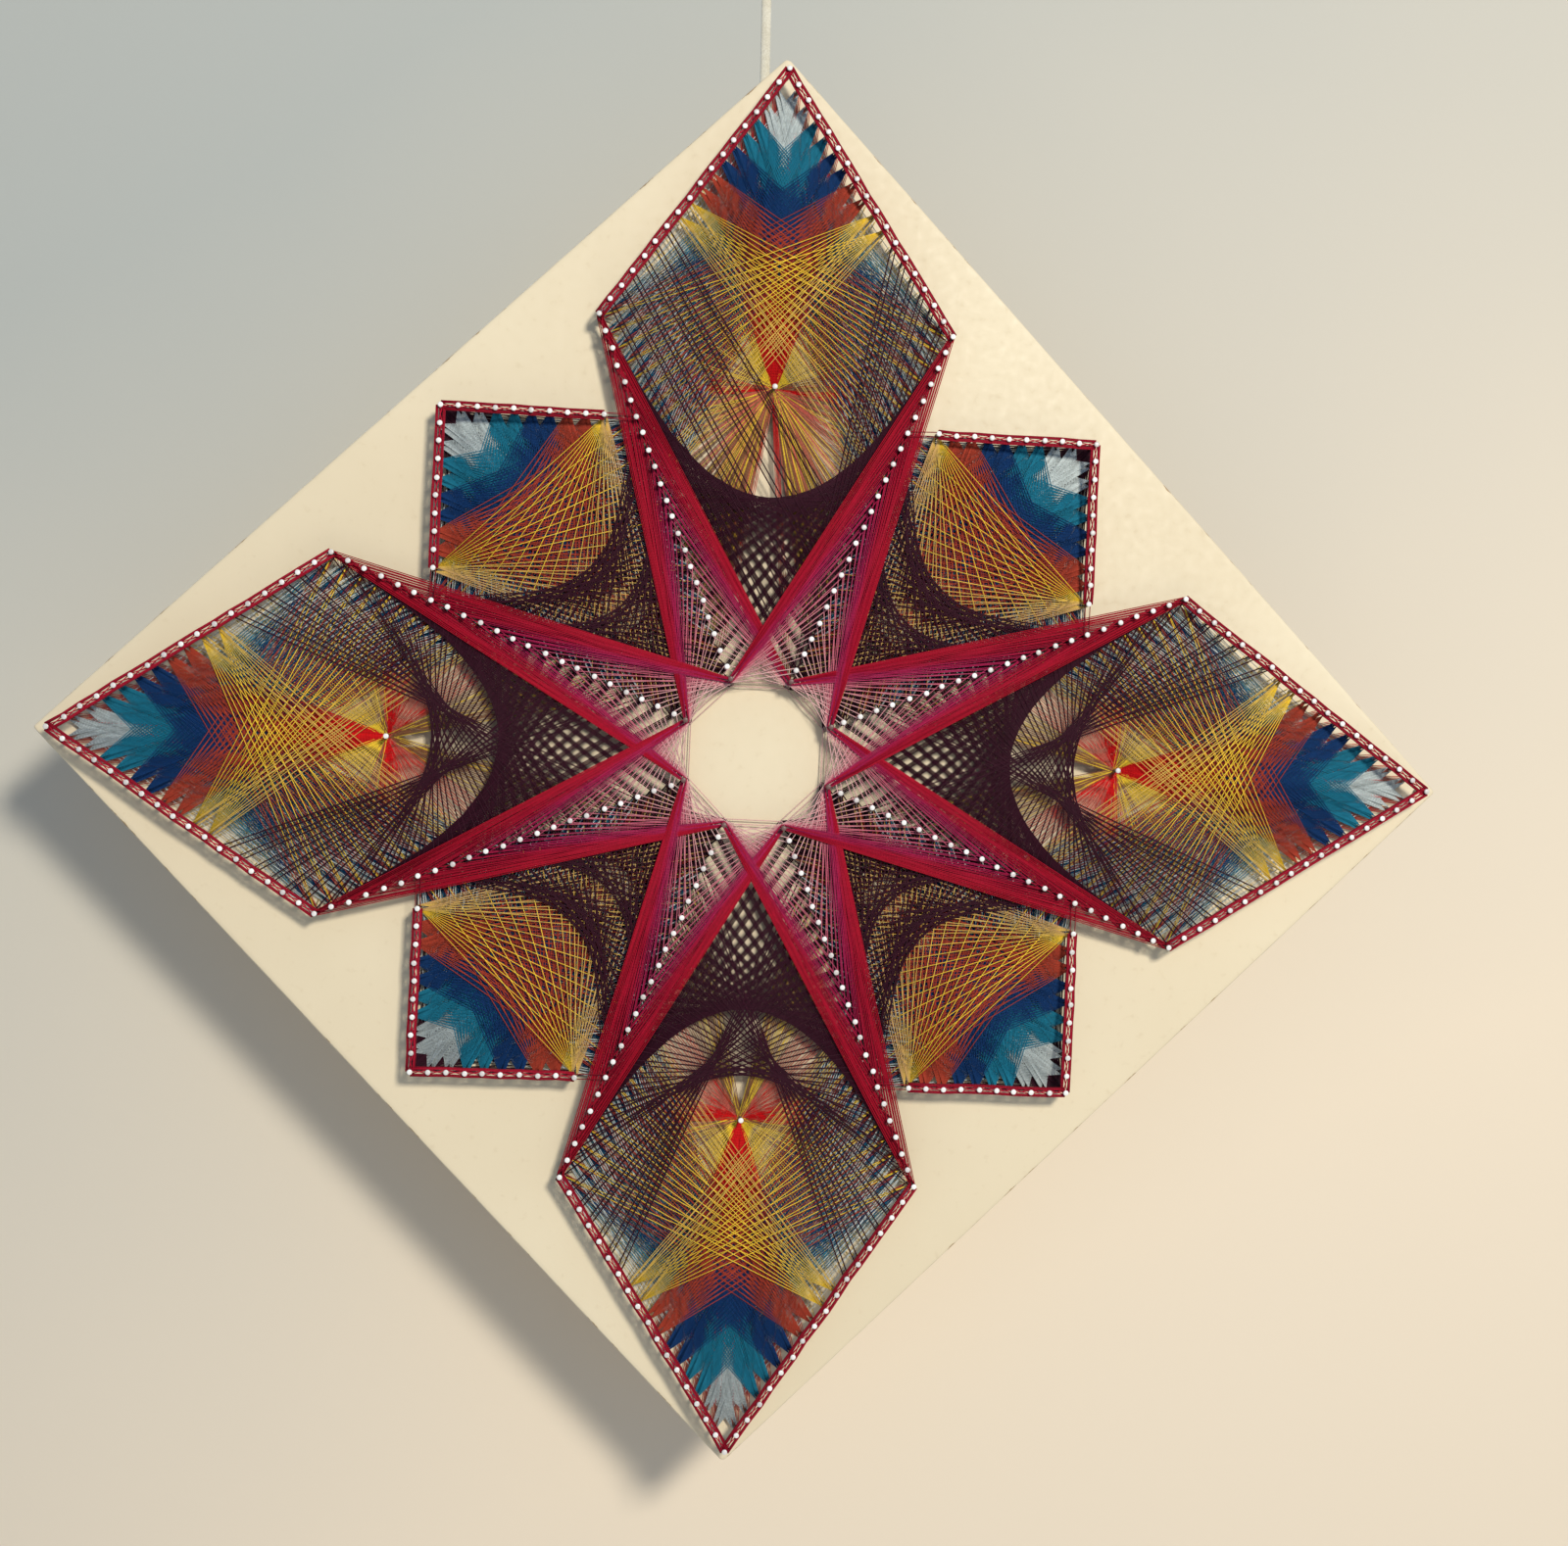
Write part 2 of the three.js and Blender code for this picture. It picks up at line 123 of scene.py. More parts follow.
def to_panel(points):
    x, y, z = np.moveaxis(np.asarray(points, float) / MM, -1, 0)
    return np.stack([x, z, FACE - y], axis=-1)


def unit(vectors):
    return vectors / np.linalg.norm(vectors, axis=-1, keepdims=True)


def circle(radius, sides):
    angles = np.arange(sides) * 2 * math.pi / sides
    return np.stack([np.cos(angles), np.sin(angles)], axis=-1) * radius


def level_ring(points, height):
    """Points of the face, lifted to one height"""
    return np.concatenate([points, np.full((len(points), 1), height)], axis=-1)


def sweep(path, section, hint, closed=False):
    """Rings of points along a path. A section point goes sideways and up, and up lies nearest
    to the hint"""
    path = np.asarray(path, float)
    if closed:
        ahead = unit(np.roll(path, -1, 0) - np.roll(path, 1, 0))
    else:
        ahead = unit(np.gradient(path, axis=0))
    side = unit(np.cross(ahead, hint))
    up = np.cross(side, ahead)
    section = np.broadcast_to(section, (len(path), *np.shape(section)[-2:]))
    return path[:, None] + section[..., :1] * side[:, None] + section[..., 1:] * up[:, None]


class Surface:
    """Rings of points, skinned with faces and gathered into one mesh"""

    def __init__(self):
        self.count = 0
        self.points = []
        self.faces = []
        self.uvs = []
        self.values = {}

    def add(self, rings, closed=False, **values):
        rows, sides, _ = rings.shape
        middle = rings.mean(axis=1)
        steps = np.linalg.norm(np.roll(middle, -1, 0) - middle, axis=-1)
        along = np.concatenate([[0], np.cumsum(steps)])
        last = rows if closed else rows - 1
        i, k = np.meshgrid(np.arange(last), np.arange(sides), indexing="ij")
        i, k = i.ravel(), k.ravel()
        after, beside = (i + 1) % rows, (k + 1) % sides
        corners = [i * sides + k, after * sides + k, after * sides + beside, i * sides + beside]
        self.faces += (np.stack(corners, axis=-1) + self.count).tolist()
        u = np.stack([along[i], along[i + 1], along[i + 1], along[i]], axis=-1)
        v = np.stack([k, k, k + 1, k + 1], axis=-1) / sides
        self.uvs.append(np.stack([u, v], axis=-1).reshape(-1, 2))
        if not closed:
            start = np.arange(sides)
            end = start[::-1] + (rows - 1) * sides
            self.faces += [(start + self.count).tolist(), (end + self.count).tolist()]
            self.uvs.append(np.zeros((2 * sides, 2)))
        self.points.append(rings.reshape(-1, 3))
        self.count += rows * sides
        for name, value in values.items():
            whole = np.broadcast_to(np.asarray(value, float), (sides, rows)).T
            self.values.setdefault(name, []).append(whole.ravel())

    def build(self, name, materials):
        mesh = bpy.data.meshes.new(name)
        mesh.from_pydata(to_world(np.concatenate(self.points)), [], self.faces)
        layer = mesh.uv_layers.new(name="along_around")
        layer.uv.foreach_set("vector", np.concatenate(self.uvs).astype(np.float32).ravel())
        for key, chunks in self.values.items():
            attribute = mesh.attributes.new(key, "FLOAT", "POINT")
            attribute.data.foreach_set("value", np.concatenate(chunks).astype(np.float32))
        for material in materials:
            mesh.materials.append(material)
        mesh.shade_smooth()
        mesh.update()
        thing = bpy.data.objects.new(name, mesh)
        bpy.context.scene.collection.objects.link(thing)
        return thing


def piece(name, surface, material, body, slot, *nodes):
    thing = surface.build(name, [material])
    return dress(thing, body, slot, *nodes)


def dress(thing, body, slot, *nodes):
    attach(thing, body)
    if nodes:
        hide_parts(*nodes)
    return thing


# Material nodes

def srgb(red, green, blue):
    """A colour as it looks on screen, 0 to 255, as linear values"""
    shares = [channel / 255 for channel in (red, green, blue)]
    return [*(s / 12.92 if s <= 0.04045 else ((s + 0.055) / 1.055) ** 2.4 for s in shares), 1.0]


class Nodes:
    """Short calls for the nodes of one material"""

    def __init__(self, name):
        self.material = bpy.data.materials.new(name)
        self.material.use_nodes = True
        self.tree = self.material.node_tree
        self.tree.nodes.clear()
        self.shader = self.add("ShaderNodeBsdfPrincipled")
        self.output = self.add("ShaderNodeOutputMaterial")
        self.tree.links.new(self.shader.outputs["BSDF"], self.output.inputs["Surface"])

    def add(self, kind, **settings):
        node = self.tree.nodes.new(kind)
        for key, value in settings.items():
            setattr(node, key, value)
        return node

    def feed(self, socket, value):
        if isinstance(value, bpy.types.NodeSocket):
            self.tree.links.new(value, socket)
        else:
            socket.default_value = value

    def set(self, **sockets):
        for name, value in sockets.items():
            self.feed(self.shader.inputs[name.replace("_", " ")], value)

    def attribute(self, name):
        return self.add("ShaderNodeAttribute", attribute_name=name).outputs["Fac"]

    def place(self):
        return self.add("ShaderNodeTexCoord").outputs["Object"]

    def split(self, vector):
        node = self.add("ShaderNodeSeparateXYZ")
        self.feed(node.inputs[0], vector)
        return node.outputs

    def uv(self):
        return self.split(self.add("ShaderNodeTexCoord").outputs["UV"])[:2]

    def math(self, operation, first, second=0.0):
        node = self.add("ShaderNodeMath", operation=operation)
        self.feed(node.inputs[0], first)
        self.feed(node.inputs[1], second)
        return node.outputs[0]

    def scaled(self, vector, x, y, z):
        node = self.add("ShaderNodeMapping")
        self.feed(node.inputs["Vector"], vector)
        node.inputs["Scale"].default_value = (x, y, z)
        return node.outputs[0]

    def noise(self, vector, scale, detail=3.0, roughness=0.5):
        node = self.add("ShaderNodeTexNoise")
        self.feed(node.inputs["Vector"], vector)
        node.inputs["Scale"].default_value = scale
        node.inputs["Detail"].default_value = detail
        node.inputs["Roughness"].default_value = roughness
        return node.outputs["Fac"]

    def span(self, value, low, high, to_low=0.0, to_high=1.0):
        node = self.add("ShaderNodeMapRange")
        for socket, number in zip(node.inputs, (value, low, high, to_low, to_high)):
            self.feed(socket, number)
        return node.outputs[0]

    def ramp(self, value, *stops):
        node = self.add("ShaderNodeValToRGB")
        self.feed(node.inputs[0], value)
        elements = node.color_ramp.elements
        while len(elements) < len(stops):
            elements.new(1.0)
        for element, (position, colour) in zip(elements, stops):
            element.position = position
            element.color = colour
        return node.outputs[0]

    def mix(self, share, first, second):
        node = self.add("ShaderNodeMix", data_type="RGBA")
        self.feed(node.inputs["Factor"], share)
        self.feed(node.inputs[6], first)
        self.feed(node.inputs[7], second)
        return node.outputs[2]

    def bump(self, height, distance, strength=1.0):
        node = self.add("ShaderNodeBump")
        node.inputs["Strength"].default_value = strength
        node.inputs["Distance"].default_value = distance
        self.feed(node.inputs["Height"], height)
        self.feed(self.shader.inputs["Normal"], node.outputs[0])


TWIST_PITCH = 1.1       # length of one turn of a thread's ply
THREAD_PLIES = 3


def thread_material(name, *stops):
    """Twisted sewing thread. The strand's shade picks its dye, which in yellow holds painted shade
    and in the border painted light, and its tone how dark it took. Painted shade darkens the
    grooves between the plies
    """
    nodes = Nodes(name)
    along, around = nodes.uv()
    turns = nodes.math("MULTIPLY", along, 2 * math.pi / TWIST_PITCH)
    phase = nodes.math("MULTIPLY_ADD", around, 2 * math.pi * THREAD_PLIES)
    nodes.feed(phase.node.inputs[2], turns)
    ply = nodes.math("SINE", phase)
    dye_and_painted_light = nodes.ramp(nodes.attribute("shade"), *stops)
    tone = nodes.span(nodes.attribute("tone"), -1, 1, 0.72, 1.22)
    fuzz = nodes.span(nodes.noise(nodes.place(), 900), 0.3, 0.7, 0.88, 1.1)
    # painted shade: the colour is darker in the grooves between the plies
    groove_shade = nodes.span(ply, -1, 1, 0.82, 1.06)
    value = nodes.math("MULTIPLY", nodes.math("MULTIPLY", tone, fuzz), groove_shade)
    colour = nodes.add("ShaderNodeVectorMath", operation="SCALE")
    nodes.feed(colour.inputs[0], dye_and_painted_light)
    nodes.feed(colour.inputs["Scale"], value)
    nodes.set(Base_Color=colour.outputs[0], Roughness=0.62, Specular_IOR_Level=0.15,
              Sheen_Weight=0.02, Sheen_Roughness=0.4)
    nodes.bump(ply, 0.00004, 0.6)
    return nodes.material


def paint_material():
    """Cream paint on the board, rubbed and a little soiled, worn to the wood along the edges"""
    nodes = Nodes("cream_paint")
    place = nodes.place()
    cloud = nodes.noise(place, 7, 4)
    speck = nodes.noise(place, 260, 3)
    streak = nodes.noise(nodes.scaled(place, 160, 20, 14), 1.0, 4)
    cream = nodes.ramp(cloud, (0.3, srgb(221, 204, 171)), (0.7, srgb(231, 216, 184)))
    soiled = nodes.mix(nodes.span(speck, 0.62, 0.8, 0, 0.35), cream, srgb(205, 184, 148))
    chips = nodes.noise(place, 95, 5, 0.65)
    worn = nodes.math("ADD", nodes.attribute("wear"), nodes.math("MULTIPLY", chips, 1.1))
    bare = nodes.mix(nodes.span(worn, 1.28, 1.36), soiled, srgb(172, 144, 106))
    nodes.set(Base_Color=bare, Roughness=nodes.span(speck, 0.3, 0.7, 0.5, 0.68))
    nodes.bump(nodes.math("ADD", streak, nodes.math("MULTIPLY", speck, 0.6)), 0.00012, 0.5)
    return nodes.material


def wood_material():
    """Bare wood of the board's back, with its grain upright along one edge"""
    nodes = Nodes("bare_wood")
    place = nodes.place()
    turn = nodes.add("ShaderNodeMapping")
    nodes.feed(turn.inputs["Vector"], place)
    turn.inputs["Rotation"].default_value = (0, math.radians(45), 0)
    grain = nodes.noise(nodes.scaled(turn.outputs[0], 5, 90, 90), 1.6, 6, 0.6)
    fibre = nodes.noise(nodes.scaled(turn.outputs[0], 30, 700, 700), 1.0, 3)
    tone = nodes.math("ADD", grain, nodes.math("MULTIPLY", fibre, 0.35))
    colour = nodes.ramp(
        tone, (0.45, srgb(168, 128, 84)), (0.68, srgb(205, 168, 120)), (0.9, srgb(222, 190, 146)))
    nodes.set(Base_Color=colour, Roughness=nodes.span(fibre, 0.3, 0.7, 0.6, 0.8))
    nodes.bump(tone, 0.0002, 0.4)
    return nodes.material


def nail_material():
    """Wire nails: heads touched with white, some of them soiled, and duller shanks of steel,
    painted darker still as shade among the threads
    """
    nodes = Nodes("nail_steel")
    place = nodes.place()
    head = nodes.span(nodes.attribute("height"), 0.9, 0.955)
    scuff = nodes.noise(place, 420, 4)
    white = nodes.ramp(scuff, (0.3, srgb(232, 228, 222)), (0.6, srgb(250, 248, 244)))
    bright = nodes.mix(nodes.attribute("soil"), white, srgb(104, 72, 70))
    # shank colour: dull steel, darkened further as painted shade
    dull_and_shaded = nodes.ramp(scuff, (0.3, srgb(84, 78, 76)), (0.7, srgb(146, 140, 136)))
    colour = nodes.mix(head, dull_and_shaded, bright)
    nodes.set(Base_Color=colour, Metallic=nodes.span(head, 0, 1, 0.6, 0.05),
              Roughness=nodes.span(scuff, 0.3, 0.7, 0.32, 0.5))
    nodes.bump(scuff, 0.00006, 0.3)
    return nodes.material


def hanger_material():
    nodes = Nodes("hanger_steel")
    place = nodes.place()
    cloud = nodes.noise(place, 240, 4)
    spangle = nodes.noise(place, 1400, 2)
    colour = nodes.ramp(cloud, (0.3, srgb(158, 150, 134)), (0.7, srgb(204, 198, 184)))
    nodes.set(Base_Color=colour, Metallic=0.9, Roughness=nodes.span(spangle, 0.3, 0.7, 0.3, 0.5))
    nodes.bump(spangle, 0.00004, 0.4)
    return nodes.material


def cord_material():
    nodes = Nodes("cord_cotton")
    place = nodes.place()
    fibre = nodes.noise(place, 1600, 4)
    cloud = nodes.noise(place, 120, 3)
    cream = nodes.ramp(cloud, (0.3, srgb(214, 206, 184)), (0.7, srgb(232, 226, 208)))
    colour = nodes.mix(nodes.span(fibre, 0.35, 0.7, 0.5, 0), cream, srgb(176, 166, 140))
    nodes.set(Base_Color=colour, Roughness=0.85, Sheen_Weight=0.3, Sheen_Roughness=0.5)
    nodes.bump(fibre, 0.0002, 0.6)
    return nodes.material


# Camera, fitted to the board's four corners in the photograph

CAMERA_PLACE = (-0.0591, -0.82, -0.0026)
CAMERA_TURN = math.radians(5.02)
CAMERA_TILT = math.radians(-0.14)
CAMERA_ROLL = math.radians(2.67)
CAMERA_LENS = 46.25


def make_camera():
    data = bpy.data.cameras.new("camera")
    data.lens = CAMERA_LENS
    camera = bpy.data.objects.new("camera", data)
    bpy.context.scene.collection.objects.link(camera)
    turn = Matrix.Rotation(-CAMERA_TURN, 4, "Z")
    tilt = Matrix.Rotation(math.pi / 2 + CAMERA_TILT, 4, "X")
    roll = Matrix.Rotation(CAMERA_ROLL, 4, "Z")
    camera.matrix_world = Matrix.Translation(CAMERA_PLACE) @ turn @ tilt @ roll
    bpy.context.scene.camera = camera


# Hanging cord: a flat braid from the ring's bow up to its loop

CORD_WIDTH = 0.004
CORD_THICKNESS = 0.0018
CORD_INSET = 0.001
CORD_SIDES = 20
RING_RADIUS = 5.6
RING_WIRE = 2.2
BRAID_PITCH = 3.2
BRAID_SLANT = 1.5       # pitches that a strand takes from the braid's middle to its edge
BRAID_RELIEF = 0.12
CORD_RING_STEP = 0.4

# Sideways and up from the middle of the ring's bow, in metres: a point every 4 mm, each a tenth
# of a millimetre farther to the left
CORD_POINTS = 17
CORD_ROUTE = [(-step / 10000, 4 * (step + 1) / 1000) for step in range(CORD_POINTS)]


def cord_points():
    bow_top = RING_BAR + np.array([0, -CORD_INSET, RING_RADIUS * MM])
    return [bow_top + np.array([sideways, 0, up]) for sideways, up in CORD_ROUTE]


def resampled(path, step):
    path = np.asarray(path, float)
    lengths = np.linalg.norm(np.diff(path, axis=0), axis=-1)
    along = np.concatenate([[0], np.cumsum(lengths)])
    places = np.linspace(0, along[-1], max(2, round(along[-1] / step) + 1))
    return np.stack([np.interp(places, along, path[:, axis]) for axis in range(3)], axis=-1)


def braid_rings(path, width, thickness, hint, closed=False):
    """A flat braid: its strands cross in chevrons that stand a little proud"""
    path = resampled(path, CORD_RING_STEP)
    if closed:
        path = path[:-1]
    angles = np.arange(CORD_SIDES) * 2 * math.pi / CORD_SIDES
    across = np.cos(angles)
    along = np.arange(len(path))[:, None] * CORD_RING_STEP
    chevron = np.abs(((along / BRAID_PITCH + np.abs(across) * BRAID_SLANT) % 1) * 2 - 1)
    swell = (chevron - 0.5) * BRAID_RELIEF
    sideways = across * (width / 2 + swell)
    upward = np.sin(angles) * (thickness / 2 + swell)
    return sweep(path, np.stack([sideways, upward], axis=-1), hint, closed)


def make_cord(material):
    points = cord_points()
    surface = Surface()
    rings = braid_rings(to_panel(points), CORD_WIDTH / MM, CORD_THICKNESS / MM, (0, 0, 1))
    surface.add(rings)
    cord = piece("flat_cord", surface, material, "ring", "cord_cotton", "hanging_cord")
    hitch = make_hitch(points[0], material)
    loop = make_loop(points[-1], material)
    for thing in (cord, hitch, loop):
        thing.visible_shadow = False    # none shows on the wall in the picture


KNOT_STEPS = 96
KNOT_SIDES = 10
KNOT_HINT = (0.1, 0.2, 1)


def knot_rings(centre, width, height, depth, cord_radius):
    """The closed turns of a drawn-up overhand knot inside a box of the given size"""
    t = np.arange(KNOT_STEPS) * 2 * math.pi / KNOT_STEPS
    x = np.sin(t) + 2 * np.sin(2 * t)
    y = np.cos(t) - 2 * np.cos(2 * t)
    z = -np.sin(3 * t)
    path = np.stack([x, y, z], axis=-1)
    reach = np.array([width, height, depth]) / 2 - cord_radius
    path *= reach / np.abs(path).max(axis=0)
    return sweep(path + centre, circle(cord_radius, KNOT_SIDES), KNOT_HINT, closed=True)


# Knots: width, height and depth, and the radius of the cord in them
RING_KNOT = (6.0, 4.8, 3.2)
RING_KNOT_CORD = 0.9
LOOP_KNOT = (8.0, 6.4, 4.0)
LOOP_KNOT_CORD = 1.15
KNOT_GAP = 0.3
LOOP_WIDTH = 15.4
LOOP_HEIGHT = 22.0
LOOP_DEPTH = 3.0
LOOP_STEPS = 72
HITCH_TURNS = 2
HITCH_STEPS = 20
HITCH_CORD = 0.6
HITCH_GAP = 0.1         # between the ring's wire and the cord round it
HITCH_PACK = 0.8        # how close the turns lie, as a share of the cord's width


def make_hitch(cord_end, material):
    """Two turns of the cord round the ring's wire, drawn up under a small knot"""
    surface = Surface()
    end = to_panel(cord_end)
    surface.add(knot_rings(end, *RING_KNOT, RING_KNOT_CORD))
    t = np.linspace(0, HITCH_TURNS * 2 * math.pi, HITCH_TURNS * HITCH_STEPS + 1)
    reach = RING_WIRE / 2 + HITCH_CORD + HITCH_GAP
    bow_top = to_panel(RING_BAR) + np.array([0, RING_RADIUS, 0])
    sideways = (t / t[-1] - 0.5) * 2 * HITCH_CORD * HITCH_TURNS * HITCH_PACK
    turns = np.stack([sideways, np.cos(t) * reach, np.sin(t) * reach], axis=-1)
    surface.add(sweep(turns + bow_top, circle(HITCH_CORD, KNOT_SIDES), (1, 0, 0)))
    return piece("ring_hitch", surface, material, "ring", "cord_cotton")


def make_loop(cord_end, material):
    """The loop that goes over the wall hook, and the knot that closes it"""
    surface = Surface()
    knot = to_panel(cord_end) + np.array([0, LOOP_KNOT[1] / 2 + KNOT_GAP, 0])
    surface.add(knot_rings(knot, *LOOP_KNOT, LOOP_KNOT_CORD))
    t = np.linspace(0, 2 * math.pi, LOOP_STEPS + 1)
    upward = (1 - np.cos(t)) * LOOP_HEIGHT / 2
    oval = np.stack([np.sin(t) * LOOP_WIDTH / 2, upward, 0 * t], axis=-1) + knot
    rings = braid_rings(oval, CORD_THICKNESS / MM, LOOP_DEPTH, (0, 0, 1), closed=True)
    surface.add(rings, closed=True)
    return piece("hook_loop", surface, material, "ring", "cord_cotton", "hanging_loop")


# Nails

class Nail:
    """A nail by its foot on the face and its lean, sideways per unit of height"""

    def __init__(self, foot, lean=(0, 0), soil=None):
        self.foot = np.asarray(foot, float)
        self.lean = np.asarray(lean) + rng.normal(0, NAIL_WOBBLE, 2)
        self.top = NAIL_TOP - abs(rng.normal(0, NAIL_SINK))
        self.soil = rng.random() ** 2 * NAIL_SOIL if soil is None else soil

    def at(self, height):
        return self.foot + self.lean * height


def between(start, end, steps):
    return [Nail(start + (end - start) * step / steps) for step in range(1, steps)]


TIP_RADIUS = HALF_DIAGONAL - TIP_MARGIN
SQUARE_CORNER = HALF_DIAGONAL / 2 - CORNER_MARGIN / math.sqrt(2)
JOIN_RADIUS = SQUARE_CORNER / math.cos(ARM_ANGLE)
INNER_STEPS = round((JOIN_RADIUS - OCTAGON_RADIUS) / ARM_PITCH)
ARM_STEPS = JOIN_STEP + INNER_STEPS


def arm_row(arm):
    """The nails of one arm, from its outer end to the octagon"""
    angle = ARM_ANGLE + arm * 2 * math.pi / ARMS
    outer = star_point(JOIN_RADIUS + JOIN_STEP * ARM_PITCH, angle)
    join = star_point(JOIN_RADIUS, angle)
    inner = star_point(OCTAGON_RADIUS, angle)
    octagon = Nail(inner, polar(OCTAGON_LEAN, angle), 1.0)
    return [Nail(outer), *between(outer, join, JOIN_STEP), Nail(join),
            *between(join, inner, INNER_STEPS), octagon]


ARM_ROWS = [arm_row(arm) for arm in range(ARMS)]


def long_petal(quarter):
    """The two sides of a long petal, each an edge row from the tip and the arm that it meets"""
    tip = Nail(polar(TIP_RADIUS, quarter * math.pi / 2))
    sides = []
    for arm in (ARM_ROWS[2 * quarter - 1], ARM_ROWS[2 * quarter]):
        steps = round(np.linalg.norm(tip.foot - arm[0].foot) / EDGE_PITCH)
        sides.append(([tip, *between(tip.foot, arm[0].foot, steps), arm[0]], arm))
    return sides


def square_petal(quarter):
    tip = Nail(star_point(SQUARE_CORNER * math.sqrt(2), quarter * math.pi / 2 + math.pi / 4))
    sides = []
    for whole in (ARM_ROWS[2 * quarter], ARM_ROWS[(2 * quarter + 1) % ARMS]):
        arm = whole[JOIN_STEP:]
        last = tip.foot + unit(arm[0].foot - tip.foot) * SQUARE_PITCH * SQUARE_ROW
        sides.append(([tip, *between(tip.foot, last, SQUARE_ROW), Nail(last)], arm))
    return sides


LONG_PETALS = [long_petal(quarter) for quarter in QUARTERS]
SQUARE_PETALS = [square_petal(quarter) for quarter in QUARTERS]
CENTRE_NAILS = [Nail(star_point(CENTRE_NAIL_RADIUS, quarter * math.pi / 2)) for quarter in QUARTERS]

# A nail's outline: its radius, and its height below the top of the head
NAIL_PROFILE = (
    (NAIL_RADIUS, 1.5), (NAIL_RADIUS * 1.15, 0.95), (NAIL_HEAD * 0.93, 0.62), (NAIL_HEAD, 0.48),
    (NAIL_HEAD, 0.26), (NAIL_HEAD * 0.9, 0.1), (NAIL_HEAD * 0.55, 0.02), (0.05, 0),
)


def nail_rings(nail):
    outline = [(NAIL_RADIUS, -NAIL_DRIVEN), (NAIL_RADIUS, 0.0)]
    outline += [(radius, nail.top - drop) for radius, drop in NAIL_PROFILE]
    rings = [level_ring(circle(radius, NAIL_SIDES)[::-1] + nail.at(height), height)
             for radius, height in outline]
    return np.array(rings), np.array([height for _, height in outline]) / NAIL_TOP


def make_nails(name, node, nails, material):
    surface = Surface()
    for nail in nails:
        rings, height = nail_rings(nail)
        surface.add(rings, height=height, soil=nail.soil)
    return piece(name, surface, material, "panel", "nail_steel", node)


def all_nails(material):
    for quarter in QUARTERS:
        (first, first_arm), (second, second_arm) = LONG_PETALS[quarter]
        nails = [*first[:-1], *second[1:-1], *first_arm, *second_arm]
        name = LONG_NAMES[quarter]
        make_nails(f"wire_nails_{name}", f"nails_{name}", nails, material)
        make_nails(f"middle_nail_{name}", f"centre_nail_{name}", [CENTRE_NAILS[quarter]], material)
        (first, _), (second, _) = SQUARE_PETALS[quarter]
        name = SQUARE_NAMES[quarter]
        make_nails(f"wire_nails_{name}", f"nails_{name}", [*first, *second[1:]], material)


# Thread strands

def height_of(layer, share):
    return FIRST_LAYER + LAYERS.index(layer) * LAYER_PITCH + share * LAYER_SPREAD


def random_tone():
    return float(np.clip(rng.normal(0, TONE_SPREAD), -1, 1))


def along_and_left(a, b):
    """The direction from one point of the face to another, and the one to its left"""
    along = unit(b - a)
    return along, np.array([-along[1], along[0]])


HUB_REACH = 0.7         # half the width of a ray at the centre nail
RAY_REACH = 1.5         # and at its far end
RAY_START = 0.5         # lowest share of their layer at which the rays leave the centre nail
STRAND_LIFT = 0.06      # of each strand of a bundle over the one before


class Winding(Surface):
    """Thread of one thickness, wound between nails"""

    def __init__(self, radius=THREAD_RADIUS):
        super().__init__()
        self.section = circle(radius, THREAD_SIDES)

    def run(self, path, closed, shade):
        rings = sweep(path, self.section, (0, 0, 1), closed)
        self.add(rings, closed, shade=shade, tone=random_tone())

    def loop(self, start, end, height, shade=0.0, gap=WRAP, drop=0.0):
        """Out and back between two nails, with half a turn round each, the far one lower"""
        a, b = start.at(height), end.at(height - drop)
        along, side = along_and_left(a, b)
        turn = np.linspace(math.pi / 2, -math.pi / 2, HALF_TURN_STEPS + 1)[:, None]
        far = b + gap * (np.cos(turn) * along + np.sin(turn) * side)
        near = a - gap * (np.cos(turn) * along + np.sin(turn) * side)
        flat = np.concatenate([far, near])
        rise = np.repeat([[height - drop], [height]], len(far), axis=0)
        self.run(np.concatenate([flat, rise], axis=-1), True, shade)

    def climb(self, start, end, height, rise):
        """A strand past each side of two nails, which lies over other strands at its far end"""
        a, b = start.at(height), end.at(height + rise)
        _, left = along_and_left(a, b)
        middle = a + (b - a) * CLIMB_START
        for side in (-WRAP, WRAP):
            off = left * side
            ends = [[*(a + off), height], [*(middle + off), height], [*(b + off), height + rise]]
            self.run(np.array(ends), False, 0.0)

    def strand(self, start, end, height, shift=0.0, shade=0.0):
        """One strand between two nails, shifted to its left"""
        a, b = start.at(height), end.at(height)
        side = along_and_left(a, b)[1] * shift
        path = np.array([[*(a + side), height], [*(b + side), height]])
        self.run(path, False, shade)

    def ray(self, hub, nail, dyes, strands):
        """Strands from high on a centre nail that spread and sink towards another nail, each in
        one of the dyes"""
        for share in np.linspace(-1, 1, strands):
            high = height_of("rays", RAY_START + (1 - RAY_START) * rng.random())
            low = height_of("net", rng.random())
            a, b = hub.at(high), nail.at(low)
            side = along_and_left(a, b)[1] * share
            path = np.array([[*(a + side * HUB_REACH), high], [*(b + side * RAY_REACH), low]])
            self.run(path, False, dyes[rng.integers(len(dyes))])

    def bundle(self, start, end, height, strands, pitch):
        """A few strands side by side between two nails"""
        for order in range(strands):
            shift = (order - (strands - 1) / 2) * pitch
            self.strand(start, end, height + STRAND_LIFT * order, shift)


FAN_NAILS = {"white": (1, 2), "teal": (3, 4), "blue": (5, 6), "rust": (7, 8), "yellow": (9, 10)}
